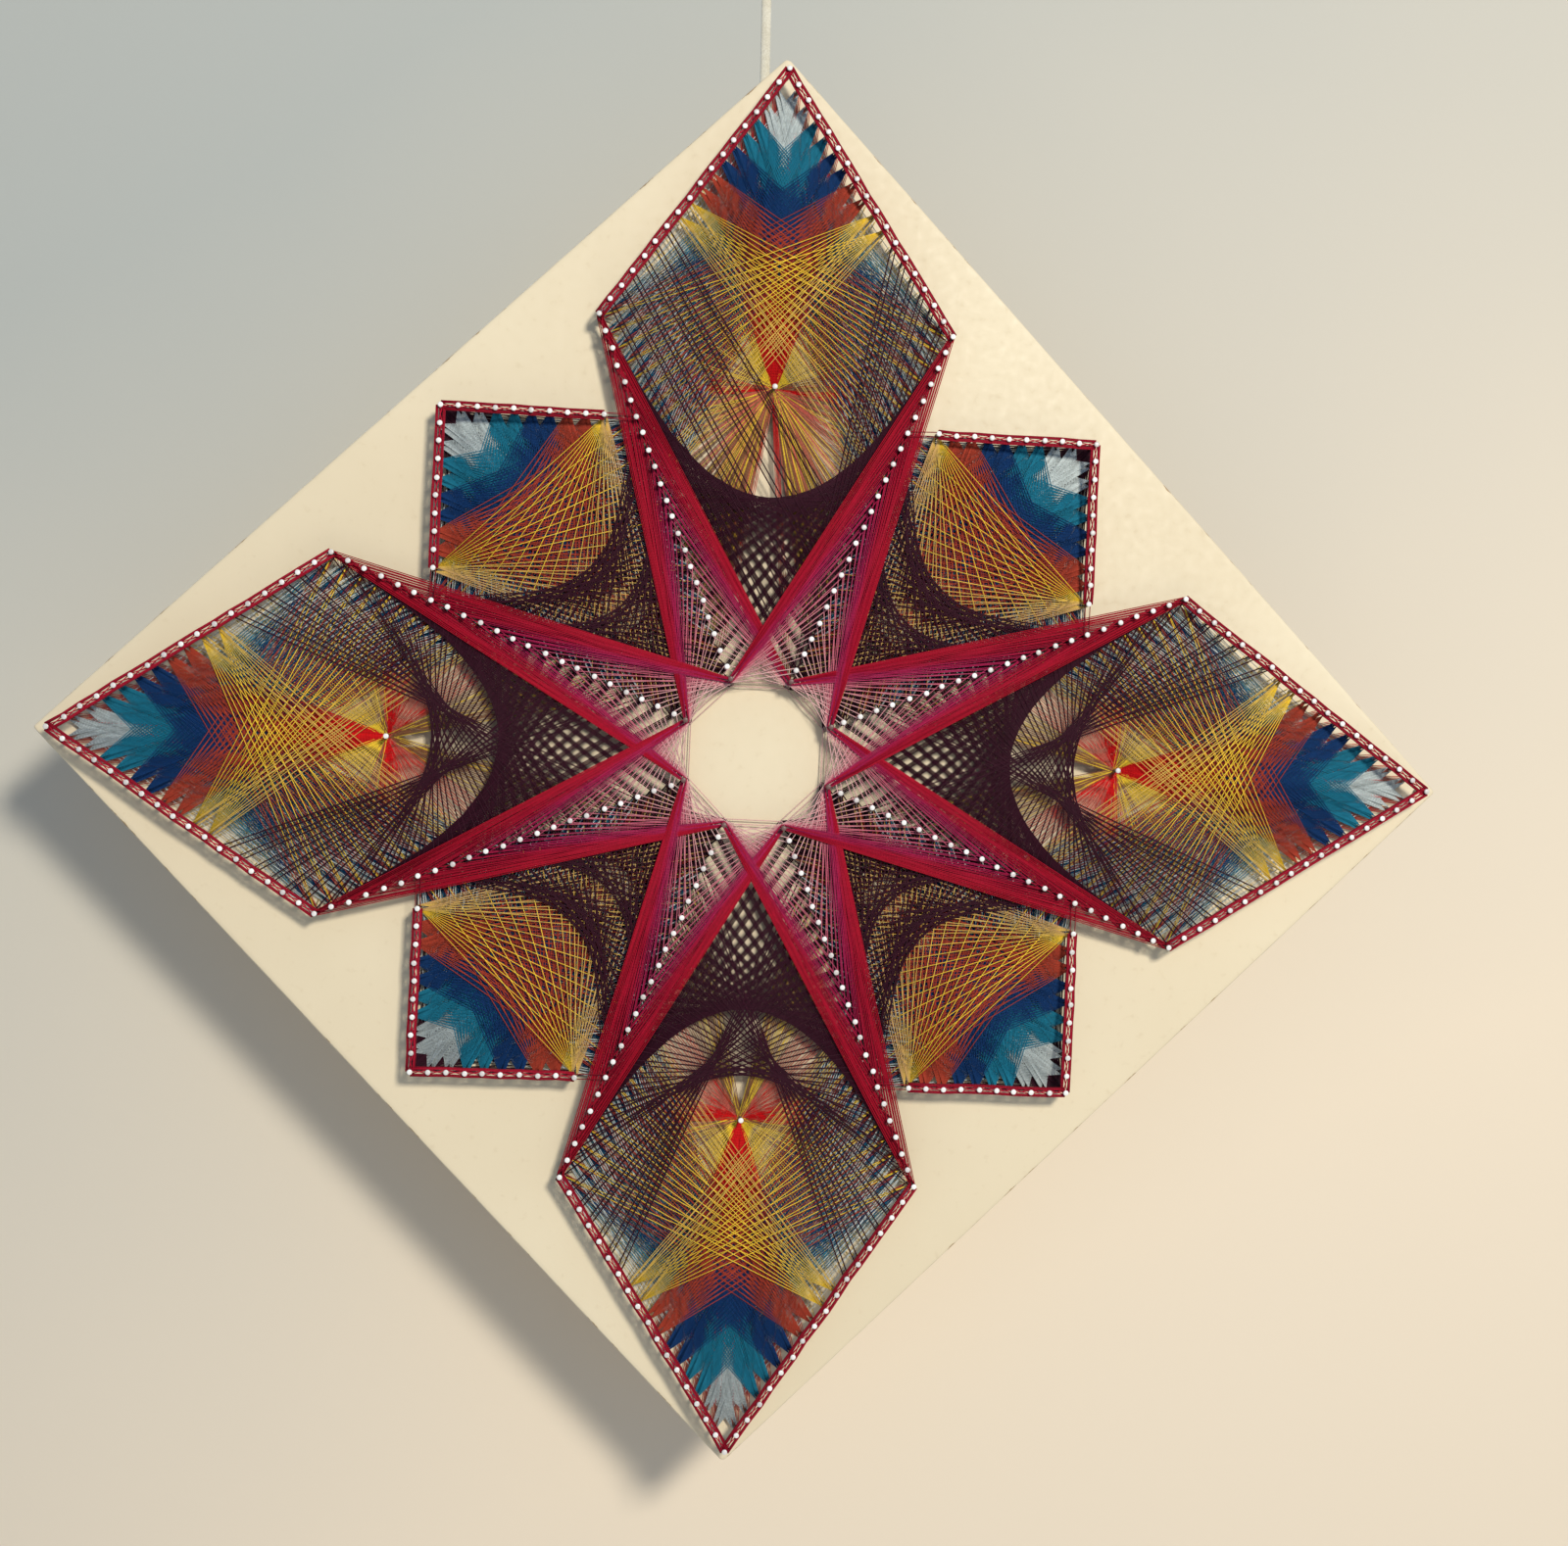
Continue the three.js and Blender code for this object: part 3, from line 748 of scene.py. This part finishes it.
# The last arm nail that each colour runs to, in a long petal and in a square one
LONG_REACH = {"white": 11, "teal": 11, "blue": 10, "rust": 9, "yellow": 10}
SQUARE_REACH = {"white": 13, "teal": 12, "blue": 12, "rust": 14, "yellow": 16}
YELLOW_PAIRS = 9        # the first arm nail that yellow runs to out and back
CORE_REACH = 9          # the last arm nail that a third strand of the middle colours runs to
CORE_LIFT = 0.1         # of that strand
CLIMB_START = 0.58      # share of its way after which white climbs over the other colours
WHITE_CLIMB = (3.6, 5.4)    # layers that it climbs
ACROSS_SHARE = 0.9      # height of yellow's line across a square petal, as a share of its layer


def fan(winding, sides, layer, nails, reach):
    """Threads from a few edge nails to each of the first nails of the opposite arm"""
    wound = [(step, nail, side) for step in range(reach + 1) for nail in nails for side in (0, 1)]
    for order, (step, nail, side) in enumerate(wound):
        height = height_of(layer, order / len(wound))
        start, end = sides[side][0][nail], sides[1 - side][1][step]
        # a strand's shade follows the arm nail it runs to; in yellow's ramp this paints the farther
        # strands darker, khaki to tan, as shade
        if layer == "yellow" and step < YELLOW_PAIRS:
            winding.strand(start, end, height, shade=step / SQUARE_REACH[layer])
            continue
        if layer == "white":
            winding.climb(start, end, height, rng.uniform(*WHITE_CLIMB) * LAYER_PITCH)
        else:
            winding.loop(start, end, height, step / SQUARE_REACH[layer])
        if layer in ("teal", "blue") and step <= CORE_REACH:
            winding.strand(start, end, height + CORE_LIFT)


def colour_winding(quarter, layer):
    winding = Winding(FINE_RADIUS)
    long_sides, square_sides = LONG_PETALS[quarter], SQUARE_PETALS[quarter]
    nails = FAN_NAILS[layer]
    fan(winding, long_sides, layer, nails, LONG_REACH[layer])
    within = [nail for nail in nails if nail <= SQUARE_ROW]
    fan(winding, square_sides, layer, within, SQUARE_REACH[layer])
    if layer == "yellow":
        (first, _), (second, _) = square_sides
        winding.strand(first[SQUARE_ROW], second[SQUARE_ROW], height_of(layer, ACROSS_SHARE))
    return winding


# Plum nets: nails whose places add up to a total are joined
LOW_NET = ARM_STEPS - 1
HIGH_NET = 25
HIGH_FIRST = 11         # the first edge nail of the high net
HIGH_SHARE = 0.4        # its height, as a share of its layer
LOW_STRANDS = 3
LOW_PITCH = 0.62
SQUARE_NETS = (10, 16)
SQUARE_NET_RISE = 0.4   # from one of them to the next, as a share of their layer
SQUARE_LINES = 11       # total of a net of single strands
SQUARE_LINES_SHARE = 0.1
SQUARE_FILL = (19, 22, 25, 28)      # totals of the low nets farther in
SQUARE_FILL_RISE = 0.2
NET_CYCLE = 3           # lines of a net that lie at heights of their own before these repeat
NET_RISE = 0.1          # from one of these to the next, as a share of the layer
# The top petal's lines, from the left edge and the right one: the nails of the right arm that
# they run to, and their height as a share of the layer
TOP_LINES = (((13, 15, 16, 18, 19, 21), 0.5), ((21, 20, 19, 17, 14, 11), 0.8))
CORNER_REACH = 16       # arm nails that the low fan of a square petal's corner runs to


def net(winding, first, second, total, layer, share):
    """Loops between two rows of nails whose places add up to one total"""
    for step in range(total + 1):
        if step < len(first) and 0 <= total - step < len(second):
            height = height_of(layer, share + NET_RISE * (step % NET_CYCLE))
            winding.loop(first[step], second[total - step], height)


def top_lines(winding, edges, arm):
    """The top petal's pairs of lines from its edges down to one arm"""
    for edge, (ends, share) in zip(edges, TOP_LINES):
        for nail, end in zip(edge[HIGH_FIRST:], ends):
            winding.loop(nail, arm[end], height_of("plum", share))


def plum_winding(quarter):
    winding = Winding(PLUM_RADIUS)
    (left_edge, left_arm), (right_edge, right_arm) = LONG_PETALS[quarter]
    for step in range(LOW_NET + 1):
        height = height_of("plum", NET_RISE * (step % NET_CYCLE))
        winding.bundle(left_arm[step], right_arm[LOW_NET - step], height, LOW_STRANDS, LOW_PITCH)
    if quarter == 0:
        top_lines(winding, (left_edge, right_edge), right_arm)
    else:
        left, right = left_edge[HIGH_FIRST:-1] + left_arm, right_edge[HIGH_FIRST:-1] + right_arm
        net(winding, left, right, HIGH_NET, "plum", HIGH_SHARE)
    (first_row, first), (_, second) = SQUARE_PETALS[quarter]
    for order, total in enumerate(SQUARE_NETS):
        net(winding, first, second, total, "plum", SQUARE_NET_RISE * order)
    for step in range(SQUARE_LINES + 1):
        winding.strand(first[step], second[SQUARE_LINES - step],
                       height_of("plum", SQUARE_LINES_SHARE))
    for order, total in enumerate(SQUARE_FILL):
        net(winding, first, second, total, "net", SQUARE_FILL_RISE * order)
    for step in range(CORNER_REACH + 1):
        for arm in (first, second):
            winding.loop(first_row[0], arm[step], height_of("net", step / CORNER_REACH))
    return winding


RED, ROSE, BROWN, GOLD = 0.0, 0.33, 0.67, 1.0
# Rays from a centre nail: the row, its first and last nail, the dyes, and the strands to each nail
TIP_RAYS = (("edge", 1, 7, (RED,), 6), ("edge", 8, 13, (GOLD,), 3),
            ("edge", 14, 17, (GOLD, BROWN), 3), ("arm", 1, 2, (GOLD, BROWN, ROSE), 3))
TOP_RAYS = (("arm", 3, 5, (RED, BROWN), 5), ("arm", 6, 11, (BROWN, ROSE, GOLD), 6),
            ("arm", 12, 19, (BROWN, BROWN, BROWN, ROSE, GOLD), 7))
OTHER_RAYS = (("arm", 3, 6, (RED,), 5), ("arm", 7, 12, (ROSE, ROSE, RED), 4),
              ("arm", 13, 18, (GOLD, BROWN, BROWN), 4))
# Two more in the top petal: the side, the arm nail, the dyes and the strands
LAST_RAYS = ((0, 20, (ROSE, RED), 4), (1, 22, (RED,), 5))


def ray_winding(quarter):
    """Rays from the nail in the middle of a long petal to the nails around it"""
    winding = Winding(FINE_RADIUS)
    hub = CENTRE_NAILS[quarter]
    for edge, arm in LONG_PETALS[quarter]:
        for row, first, last, dyes, strands in TIP_RAYS + (OTHER_RAYS if quarter else TOP_RAYS):
            for place in range(first, last + 1):
                winding.ray(hub, edge[place] if row == "edge" else arm[place], dyes, strands)
    if quarter == 0:
        for side, nail, dyes, strands in LAST_RAYS:
            winding.ray(hub, LONG_PETALS[quarter][side][1][nail], dyes, strands)
    return winding


STAR_CRIMSON = 12       # the last nail of an arm that has crimson thread
PALE_DROP = 1.2         # how far the paler thread sinks on its way to the octagon
OCTAGON_LINE = 2.4      # height of the thread from one octagon nail to the next
ARM_LIFT = 0.2          # of each arm over the one clockwise of it
STAR_CYCLE = 4          # loops of an arm that lie at heights of their own before these repeat
STAR_GAP = 0.9          # half the width of a loop
MIDDLE_LIFT = 0.1       # of the strand inside a crimson loop
MIDDLE_SHIFT = 0.3


def star_winding(arm):
    """Loops round the nails of one arm, drawn down to the octagon nails on both sides of it"""
    winding = Winding()
    base = height_of("star", 0) + (ARMS - 1 - arm) * ARM_LIFT
    for step in range(ARM_STEPS):
        shade = step / (ARM_STEPS - 1)
        for side in (-1, 1):
            target = ARM_ROWS[(arm + side) % ARMS][-1]
            start = ARM_ROWS[arm][step]
            height = base + ARM_LIFT * (step % STAR_CYCLE) / STAR_CYCLE
            if step <= STAR_CRIMSON:
                winding.loop(start, target, height, shade, STAR_GAP)
                winding.strand(start, target, height + MIDDLE_LIFT, MIDDLE_SHIFT * side, shade)
            else:
                winding.loop(start, target, height, shade, STAR_GAP, PALE_DROP)
    neighbour = ARM_ROWS[(arm + 1) % ARMS][-1]
    winding.loop(ARM_ROWS[arm][-1], neighbour, OCTAGON_LINE, 1.0)
    return winding


BORDER_SIDES = (1.05, 1.4, 1.75)    # strands on each side of a row, out from its middle
BORDER_STACK = 3
BORDER_LEVEL = 0.55     # share of the layer from one level of the stack to the next
BORDER_SLOPE = 0.25     # how much lower a strand lies for each millimetre out
BORDER_SHADES = 0.6     # the straight strands take their shades from none up to this
# Woven strands: how far they swing, their height as a share of the layer, and their shade, which is
# lighter red the higher they lie: painted light on the border's top
BORDER_WEAVES = ((0.98, 0.6, 0.7), (0.7, 1.1, 1.0))
# the arms' woven strands lie low and take a darker red, as painted shade
ARM_WEAVE = (WRAP, 0.3, 0.3)
WEAVE_LIFT = 0.1        # of one strand over the middle, and of the other under it
BORDER_JOIN = 0.2       # height of the loop from a square petal's row to the arm, as a share


def row_path(nails, height, offsets):
    """A path past the nails of a row at one height, off to the left of each by its own offset"""
    path = []
    for place, (nail, offset) in enumerate(zip(nails, offsets)):
        before, after = nails[max(place - 1, 0)], nails[min(place + 1, len(nails) - 1)]
        side = along_and_left(before.foot, after.foot)[1] * offset
        path.append([*(nail.at(height) + side), height])
    return np.array(path)


def weave(winding, nails, reach, share, shade):
    """Two strands along a row of nails that pass each other from side to side"""
    height = height_of("border", share)
    for sign in (-1, 1):
        offsets = [sign * reach * (-1) ** place for place in range(len(nails))]
        winding.run(row_path(nails, height + WEAVE_LIFT * sign, offsets), False, shade)


def border_run(winding, nails):
    """The border along a row of nails: straight strands heaped on both sides, and woven ones"""
    for level in range(BORDER_STACK):
        height = height_of("border", BORDER_LEVEL * level)
        for reach in BORDER_SIDES:
            lower = height - BORDER_SLOPE * (reach - 1)
            for sign in (-1, 1):
                path = row_path(nails, lower, [sign * reach] * len(nails))
                winding.run(path, False, rng.random() * BORDER_SHADES)
    for woven in BORDER_WEAVES:
        weave(winding, nails, *woven)


def long_border(quarter):
    winding = Winding()
    for edge, arm in LONG_PETALS[quarter]:
        border_run(winding, edge)
        weave(winding, arm[:JOIN_STEP + 1], *ARM_WEAVE)
    return winding


def square_border(quarter):
    winding = Winding()
    for edge, arm in SQUARE_PETALS[quarter]:
        border_run(winding, edge)
        winding.loop(edge[-1], arm[0], height_of("border", BORDER_JOIN))
    return winding


def one_dye(red, green, blue):
    return [(0.0, srgb(red, green, blue)), (1.0, srgb(red, green, blue))]


# Dye ramps picked by each strand's shade; yellow's ramp also holds painted shade and the border's
# painted light
THREAD_DYES_AND_PAINTED_LIGHT = {
    "white": one_dye(206, 216, 214),
    "teal": one_dye(24, 116, 142),
    "blue": one_dye(8, 52, 102),
    "rust": one_dye(170, 62, 42),
    # yellow: golden on strands to near nails, painted darker through khaki to tan on the farther
    # ones, as shade
    "yellow": [(0.3, srgb(254, 212, 60)), (0.6, srgb(218, 180, 88)), (1.0, srgb(204, 162, 104))],
    "plum": one_dye(46, 4, 24),
    "rays": [(0.0, srgb(206, 16, 20)), (0.33, srgb(206, 100, 84)), (0.67, srgb(144, 94, 62)),
             (1.0, srgb(238, 200, 58))],
    "star": [(0.0, srgb(164, 4, 34)), (0.35, srgb(164, 8, 44)), (0.55, srgb(160, 28, 80)),
             (0.75, srgb(208, 112, 128)), (1.0, srgb(228, 180, 176))],
    "border": [(0.0, srgb(142, 6, 32)), (1.0, srgb(188, 26, 54))],
}


def all_threads():
    dyed = {name: thread_material(f"thread_{name}", *stops) for name, stops in THREAD_DYES_AND_PAINTED_LIGHT.items()}
    for quarter in QUARTERS:
        name = LONG_NAMES[quarter]
        piece(f"centre_rays_{name}", ray_winding(quarter), dyed["rays"], "panel", "thread_rust")
        for layer in FAN_NAILS:
            piece(f"{layer}_winding_{name}", colour_winding(quarter, layer), dyed[layer], "panel",
                  f"thread_{layer}", f"{layer}_thread_{name}")
        piece(f"plum_winding_{name}", plum_winding(quarter), dyed["plum"], "panel", "thread_plum",
              f"plum_thread_{name}")
        piece(f"border_winding_{name}", long_border(quarter), dyed["border"], "panel",
              "thread_border", f"red_border_{name}")
        name = SQUARE_NAMES[quarter]
        piece(f"border_winding_{name}", square_border(quarter), dyed["border"], "panel",
              "thread_border", f"red_border_{name}")
    for arm in range(ARMS):
        piece(f"star_winding_{arm + 1}", star_winding(arm), dyed["star"], "panel", "thread_star",
              f"star_arm_{arm + 1}")


# Board

CORNER_ROUND = (2.4, 1.6, 2.0, 1.4)     # top, right, bottom, left
CORNER_STEPS = 6
CORNER_LEAST = 0.1      # radius of a corner well inside the outline
EDGE_POINTS = 48
EDGE_BEVEL = 0.7
EDGE_ROUGH = 0.07       # how uneven the outline is where it is wholly worn
BACK_FACING = 0.9       # least share of a face's direction that makes it part of the bare back
# Rings of the board from the middle of its back round the edge to the middle of its face:
# inset from the outline, height, and how worn the paint is
BOARD_RINGS = (
    (40, BACK, 0), (EDGE_BEVEL, BACK, 0.6), (0.2, BACK + 0.2, 0.8), (0, BACK + EDGE_BEVEL, 0.6),
    (0, -4.0, 0.35), (0, -EDGE_BEVEL, 0.55), (0.2, -0.2, 0.72), (EDGE_BEVEL, 0, 0.55),
    (2.2, 0, 0.3), (6, 0, 0), (40, 0, 0),
)


def board_corner(quarter, inset):
    """Points round one corner of the board, clockwise"""
    radius = max(CORNER_ROUND[quarter % 4] - inset, CORNER_LEAST)
    angle = quarter * math.pi / 2
    centre = polar(HALF_DIAGONAL - (inset + radius) * math.sqrt(2), angle)
    turns = np.linspace(-math.pi / 4, math.pi / 4, CORNER_STEPS + 1)
    return [centre + polar(radius, angle + turn) for turn in turns]


def board_outline(inset):
    """The board's square, standing on a corner, with its corners rounded"""
    points = []
    for quarter in QUARTERS:
        points += board_corner(quarter, inset)
        end = board_corner(quarter + 1, inset)[0]
        points += list(np.linspace(points[-1], end, EDGE_POINTS + 2)[1:-1])
    return np.array(points)


def make_board():
    surface = Surface()
    rings = []
    for inset, height, wear in BOARD_RINGS:
        outline = board_outline(inset)
        rough = rng.normal(0, EDGE_ROUGH * wear, outline.shape)
        rings.append(level_ring(outline + rough, height))
    surface.add(np.array(rings), wear=np.array([wear for _, _, wear in BOARD_RINGS]))
    board = surface.build("painted_board", [paint_material(), wood_material()])
    for face in board.data.polygons:
        if face.normal.y > BACK_FACING:
            face.material_index = 1
    return dress(board, "panel", "board_paint", "board")


# Hanger on the back

STRAP_WIDTH = 6.6
STRAP_THICKNESS = 1.2
STRAP_LENGTH = 34.0
STRAP_GAP = 0.3
STRAP_ROUND = 0.3
STRAP_STEPS = 20
CURL_TURN = 1.75 * math.pi
CURL_STEPS = 24
BOW_STEPS = 40
BAR_STEPS = 14
WIRE_SIDES = 14
SCREW_FOOT = 7.0
SCREW_SPACING = 14.0


def rounded_bar(width, height, radius, steps=4):
    """A rectangle with round corners, as sideways and upward offsets"""
    reach = np.array([width, height]) / 2 - radius
    points = []
    for corner, signs in enumerate(((1, 1), (-1, 1), (-1, -1), (1, -1))):
        for angle in (corner + np.linspace(0, 1, steps + 1)) * math.pi / 2:
            points.append(reach * signs + radius * np.array([math.cos(angle), math.sin(angle)]))
    return np.array(points)


def make_strap(material):
    bar = to_panel(RING_BAR)
    inner = RING_WIRE / 2 + STRAP_GAP + STRAP_THICKNESS / 2
    turn = np.linspace(0, CURL_TURN, CURL_STEPS)
    curl = np.stack([0 * turn, np.sin(turn) * inner, np.cos(turn) * inner], axis=-1) + bar
    foot = curl[0] - np.array([0, STRAP_LENGTH, 0])
    straight = np.linspace(foot, curl[0], STRAP_STEPS)[:-1]
    surface = Surface()
    section = rounded_bar(STRAP_THICKNESS, STRAP_WIDTH, STRAP_ROUND)
    surface.add(sweep(np.concatenate([straight, curl]), section, (1, 0, 0)))
    return piece("strap_plate", surface, material, "panel", "hanger_steel", "hanger_strap")


def make_ring(material):
    bar = to_panel(RING_BAR)
    turn = np.linspace(0, math.pi, BOW_STEPS)
    bow = np.stack([np.cos(turn), np.sin(turn), 0 * turn], axis=-1) * RING_RADIUS
    straight = np.linspace((-RING_RADIUS, 0, 0), (RING_RADIUS, 0, 0), BAR_STEPS)[1:-1]
    surface = Surface()
    path = np.concatenate([bow, straight]) + bar
    surface.add(sweep(path, circle(RING_WIRE / 2, WIRE_SIDES), (0, 0, 1), closed=True), closed=True)
    return piece("wire_ring", surface, material, "ring", "hanger_steel", "hanger_ring")


# Round screw head: radius, and height over the strap
SCREW_PROFILE = (
    (1.5, -4.0), (1.5, 0.0), (3.0, 0.05), (3.0, 0.5), (2.85, 0.9), (2.4, 1.3), (1.7, 1.62),
    (0.9, 1.78), (0.05, 1.8),
)
SCREW_SIDES = 28


def make_screw(index, name, material):
    strap = to_panel(RING_BAR) - np.array([0, STRAP_LENGTH, 0])
    place = strap[:2] + np.array([0, SCREW_FOOT + index * SCREW_SPACING])
    seat = BACK - 2 * STRAP_GAP - STRAP_THICKNESS
    rings = [level_ring(circle(radius, SCREW_SIDES) + place, seat - height)
             for radius, height in SCREW_PROFILE]
    surface = Surface()
    surface.add(np.array(rings))
    return piece(f"round_screw_{name}", surface, material, "panel", "hanger_steel",
                 f"hanger_screw_{name}")


# Stage and light

WALL_GAP = 0.066
WALL_REACH = 4.0
FLOOR_DROP = 1.0
# Painted light on the wall: its colour is lighter and warmer towards the lower right, greyer
# towards the upper left
PAINTED_LIGHT_LEAN = 0.6
PAINTED_LIGHT_SPAN = 0.4
WALL_CLOUD = 0.2
# Lamps: place, size, power and colour
KEY = ((0.624, -1.95, 0.8), 0.34, 42, (1.0, 0.95, 0.85))
REAR_FILL = ((-0.8, 1.6, 0.8), 1.2, 18, (0.75, 0.88, 1.0))
SKY_COLOUR = (0.64, 0.9, 1.32, 1)
SKY_STRENGTH = 0.31


def wall_material():
    """A pale plastered wall that shows from the front only, so that the panel's back can be seen
    and lit. Painted light makes its colour lighter and warmer towards the lower right"""
    nodes = Nodes("wall_plaster")
    place = nodes.place()
    x, _, z = nodes.split(place)
    # painted light: the colour runs from grey at the upper left to warm cream at the lower right
    lean = nodes.math("MULTIPLY", x, PAINTED_LIGHT_LEAN)
    painted_light_slope = nodes.span(nodes.math("SUBTRACT", lean, z), -PAINTED_LIGHT_SPAN, PAINTED_LIGHT_SPAN)
    cloud = nodes.math("MULTIPLY", nodes.noise(place, 3, 3), WALL_CLOUD)
    level = nodes.math("ADD", painted_light_slope, cloud)
    colour = nodes.ramp(level, (0.1, srgb(180, 182, 175)), (1.0, srgb(233, 217, 193)))
    nodes.set(Base_Color=colour, Roughness=0.9)
    nodes.bump(nodes.noise(place, 90, 4), 0.0004, 0.2)
    light_path = nodes.add("ShaderNodeLightPath")
    geometry = nodes.add("ShaderNodeNewGeometry")
    front = nodes.math("SUBTRACT", 1.0, geometry.outputs["Backfacing"])
    seen = nodes.math("ADD", light_path.outputs["Is Camera Ray"],
                      light_path.outputs["Is Glossy Ray"])
    shown = nodes.math("MULTIPLY", seen, front)
    clear = nodes.add("ShaderNodeBsdfTransparent")
    mixed = nodes.add("ShaderNodeMixShader")
    nodes.feed(mixed.inputs[0], shown)
    nodes.tree.links.new(clear.outputs[0], mixed.inputs[1])
    nodes.tree.links.new(nodes.shader.outputs[0], mixed.inputs[2])
    nodes.tree.links.new(mixed.outputs[0], nodes.output.inputs["Surface"])
    return nodes.material


def floor_material():
    nodes = Nodes("pale_floor")
    cloud = nodes.noise(nodes.place(), 2, 3)
    colour = nodes.ramp(cloud, (0.3, srgb(236, 226, 212)), (0.7, srgb(242, 233, 220)))
    nodes.set(Base_Color=colour, Roughness=0.85)
    return nodes.material


def plane(name, corners, material):
    mesh = bpy.data.meshes.new(name)
    mesh.from_pydata(corners, [], [(0, 1, 2, 3)])
    mesh.materials.append(material)
    thing = bpy.data.objects.new(name, mesh)
    bpy.context.scene.collection.objects.link(thing)


def make_stage():
    r = WALL_REACH
    floor = -FLOOR_DROP
    wall = [(-r, WALL_GAP, floor), (r, WALL_GAP, floor), (r, WALL_GAP, r), (-r, WALL_GAP, r)]
    plane("wall", wall, wall_material())
    ground = [(-r, -r, floor), (r, -r, floor), (r, r, floor), (-r, r, floor)]
    plane("floor", ground, floor_material())


def area_light(name, place, size, power, colour):
    """A square lamp that points at the middle of the board"""
    data = bpy.data.lights.new(name, "AREA")
    data.size = size
    data.energy = power
    data.color = colour
    lamp = bpy.data.objects.new(name, data)
    lamp.location = place
    lamp.rotation_euler = (-Vector(place)).to_track_quat("-Z", "Y").to_euler()
    bpy.context.scene.collection.objects.link(lamp)


def make_world():
    """Cool light from all round, which looks pale and plain where it is seen or mirrored"""
    world = bpy.data.worlds.new("studio")
    world.use_nodes = True
    tree = world.node_tree
    light = tree.nodes["Background"]
    light.inputs["Color"].default_value = SKY_COLOUR
    light.inputs["Strength"].default_value = SKY_STRENGTH
    backdrop = tree.nodes.new("ShaderNodeBackground")
    backdrop.inputs["Color"].default_value = srgb(214, 215, 213)
    light_path = tree.nodes.new("ShaderNodeLightPath")
    seen = light_path.outputs["Is Camera Ray"]
    for ray in ("Is Glossy Ray", "Is Transmission Ray"):
        either = tree.nodes.new("ShaderNodeMath")
        either.operation = "MAXIMUM"
        tree.links.new(seen, either.inputs[0])
        tree.links.new(light_path.outputs[ray], either.inputs[1])
        seen = either.outputs[0]
    mixed = tree.nodes.new("ShaderNodeMixShader")
    tree.links.new(seen, mixed.inputs[0])
    tree.links.new(light.outputs[0], mixed.inputs[1])
    tree.links.new(backdrop.outputs[0], mixed.inputs[2])
    tree.links.new(mixed.outputs[0], tree.nodes["World Output"].inputs["Surface"])
    return world


def make_light():
    area_light("key", *KEY)
    area_light("rear_fill", *REAR_FILL)
    bpy.context.scene.world = make_world()


make_camera()
make_cord(cord_material())
make_stage()
make_light()
bpy.context.scene.view_settings.view_transform = "Standard"

make_board()
all_nails(nail_material())
all_threads()
steel = hanger_material()
make_strap(steel)
make_ring(steel)
make_screw(0, "lower", steel)
make_screw(1, "upper", steel)
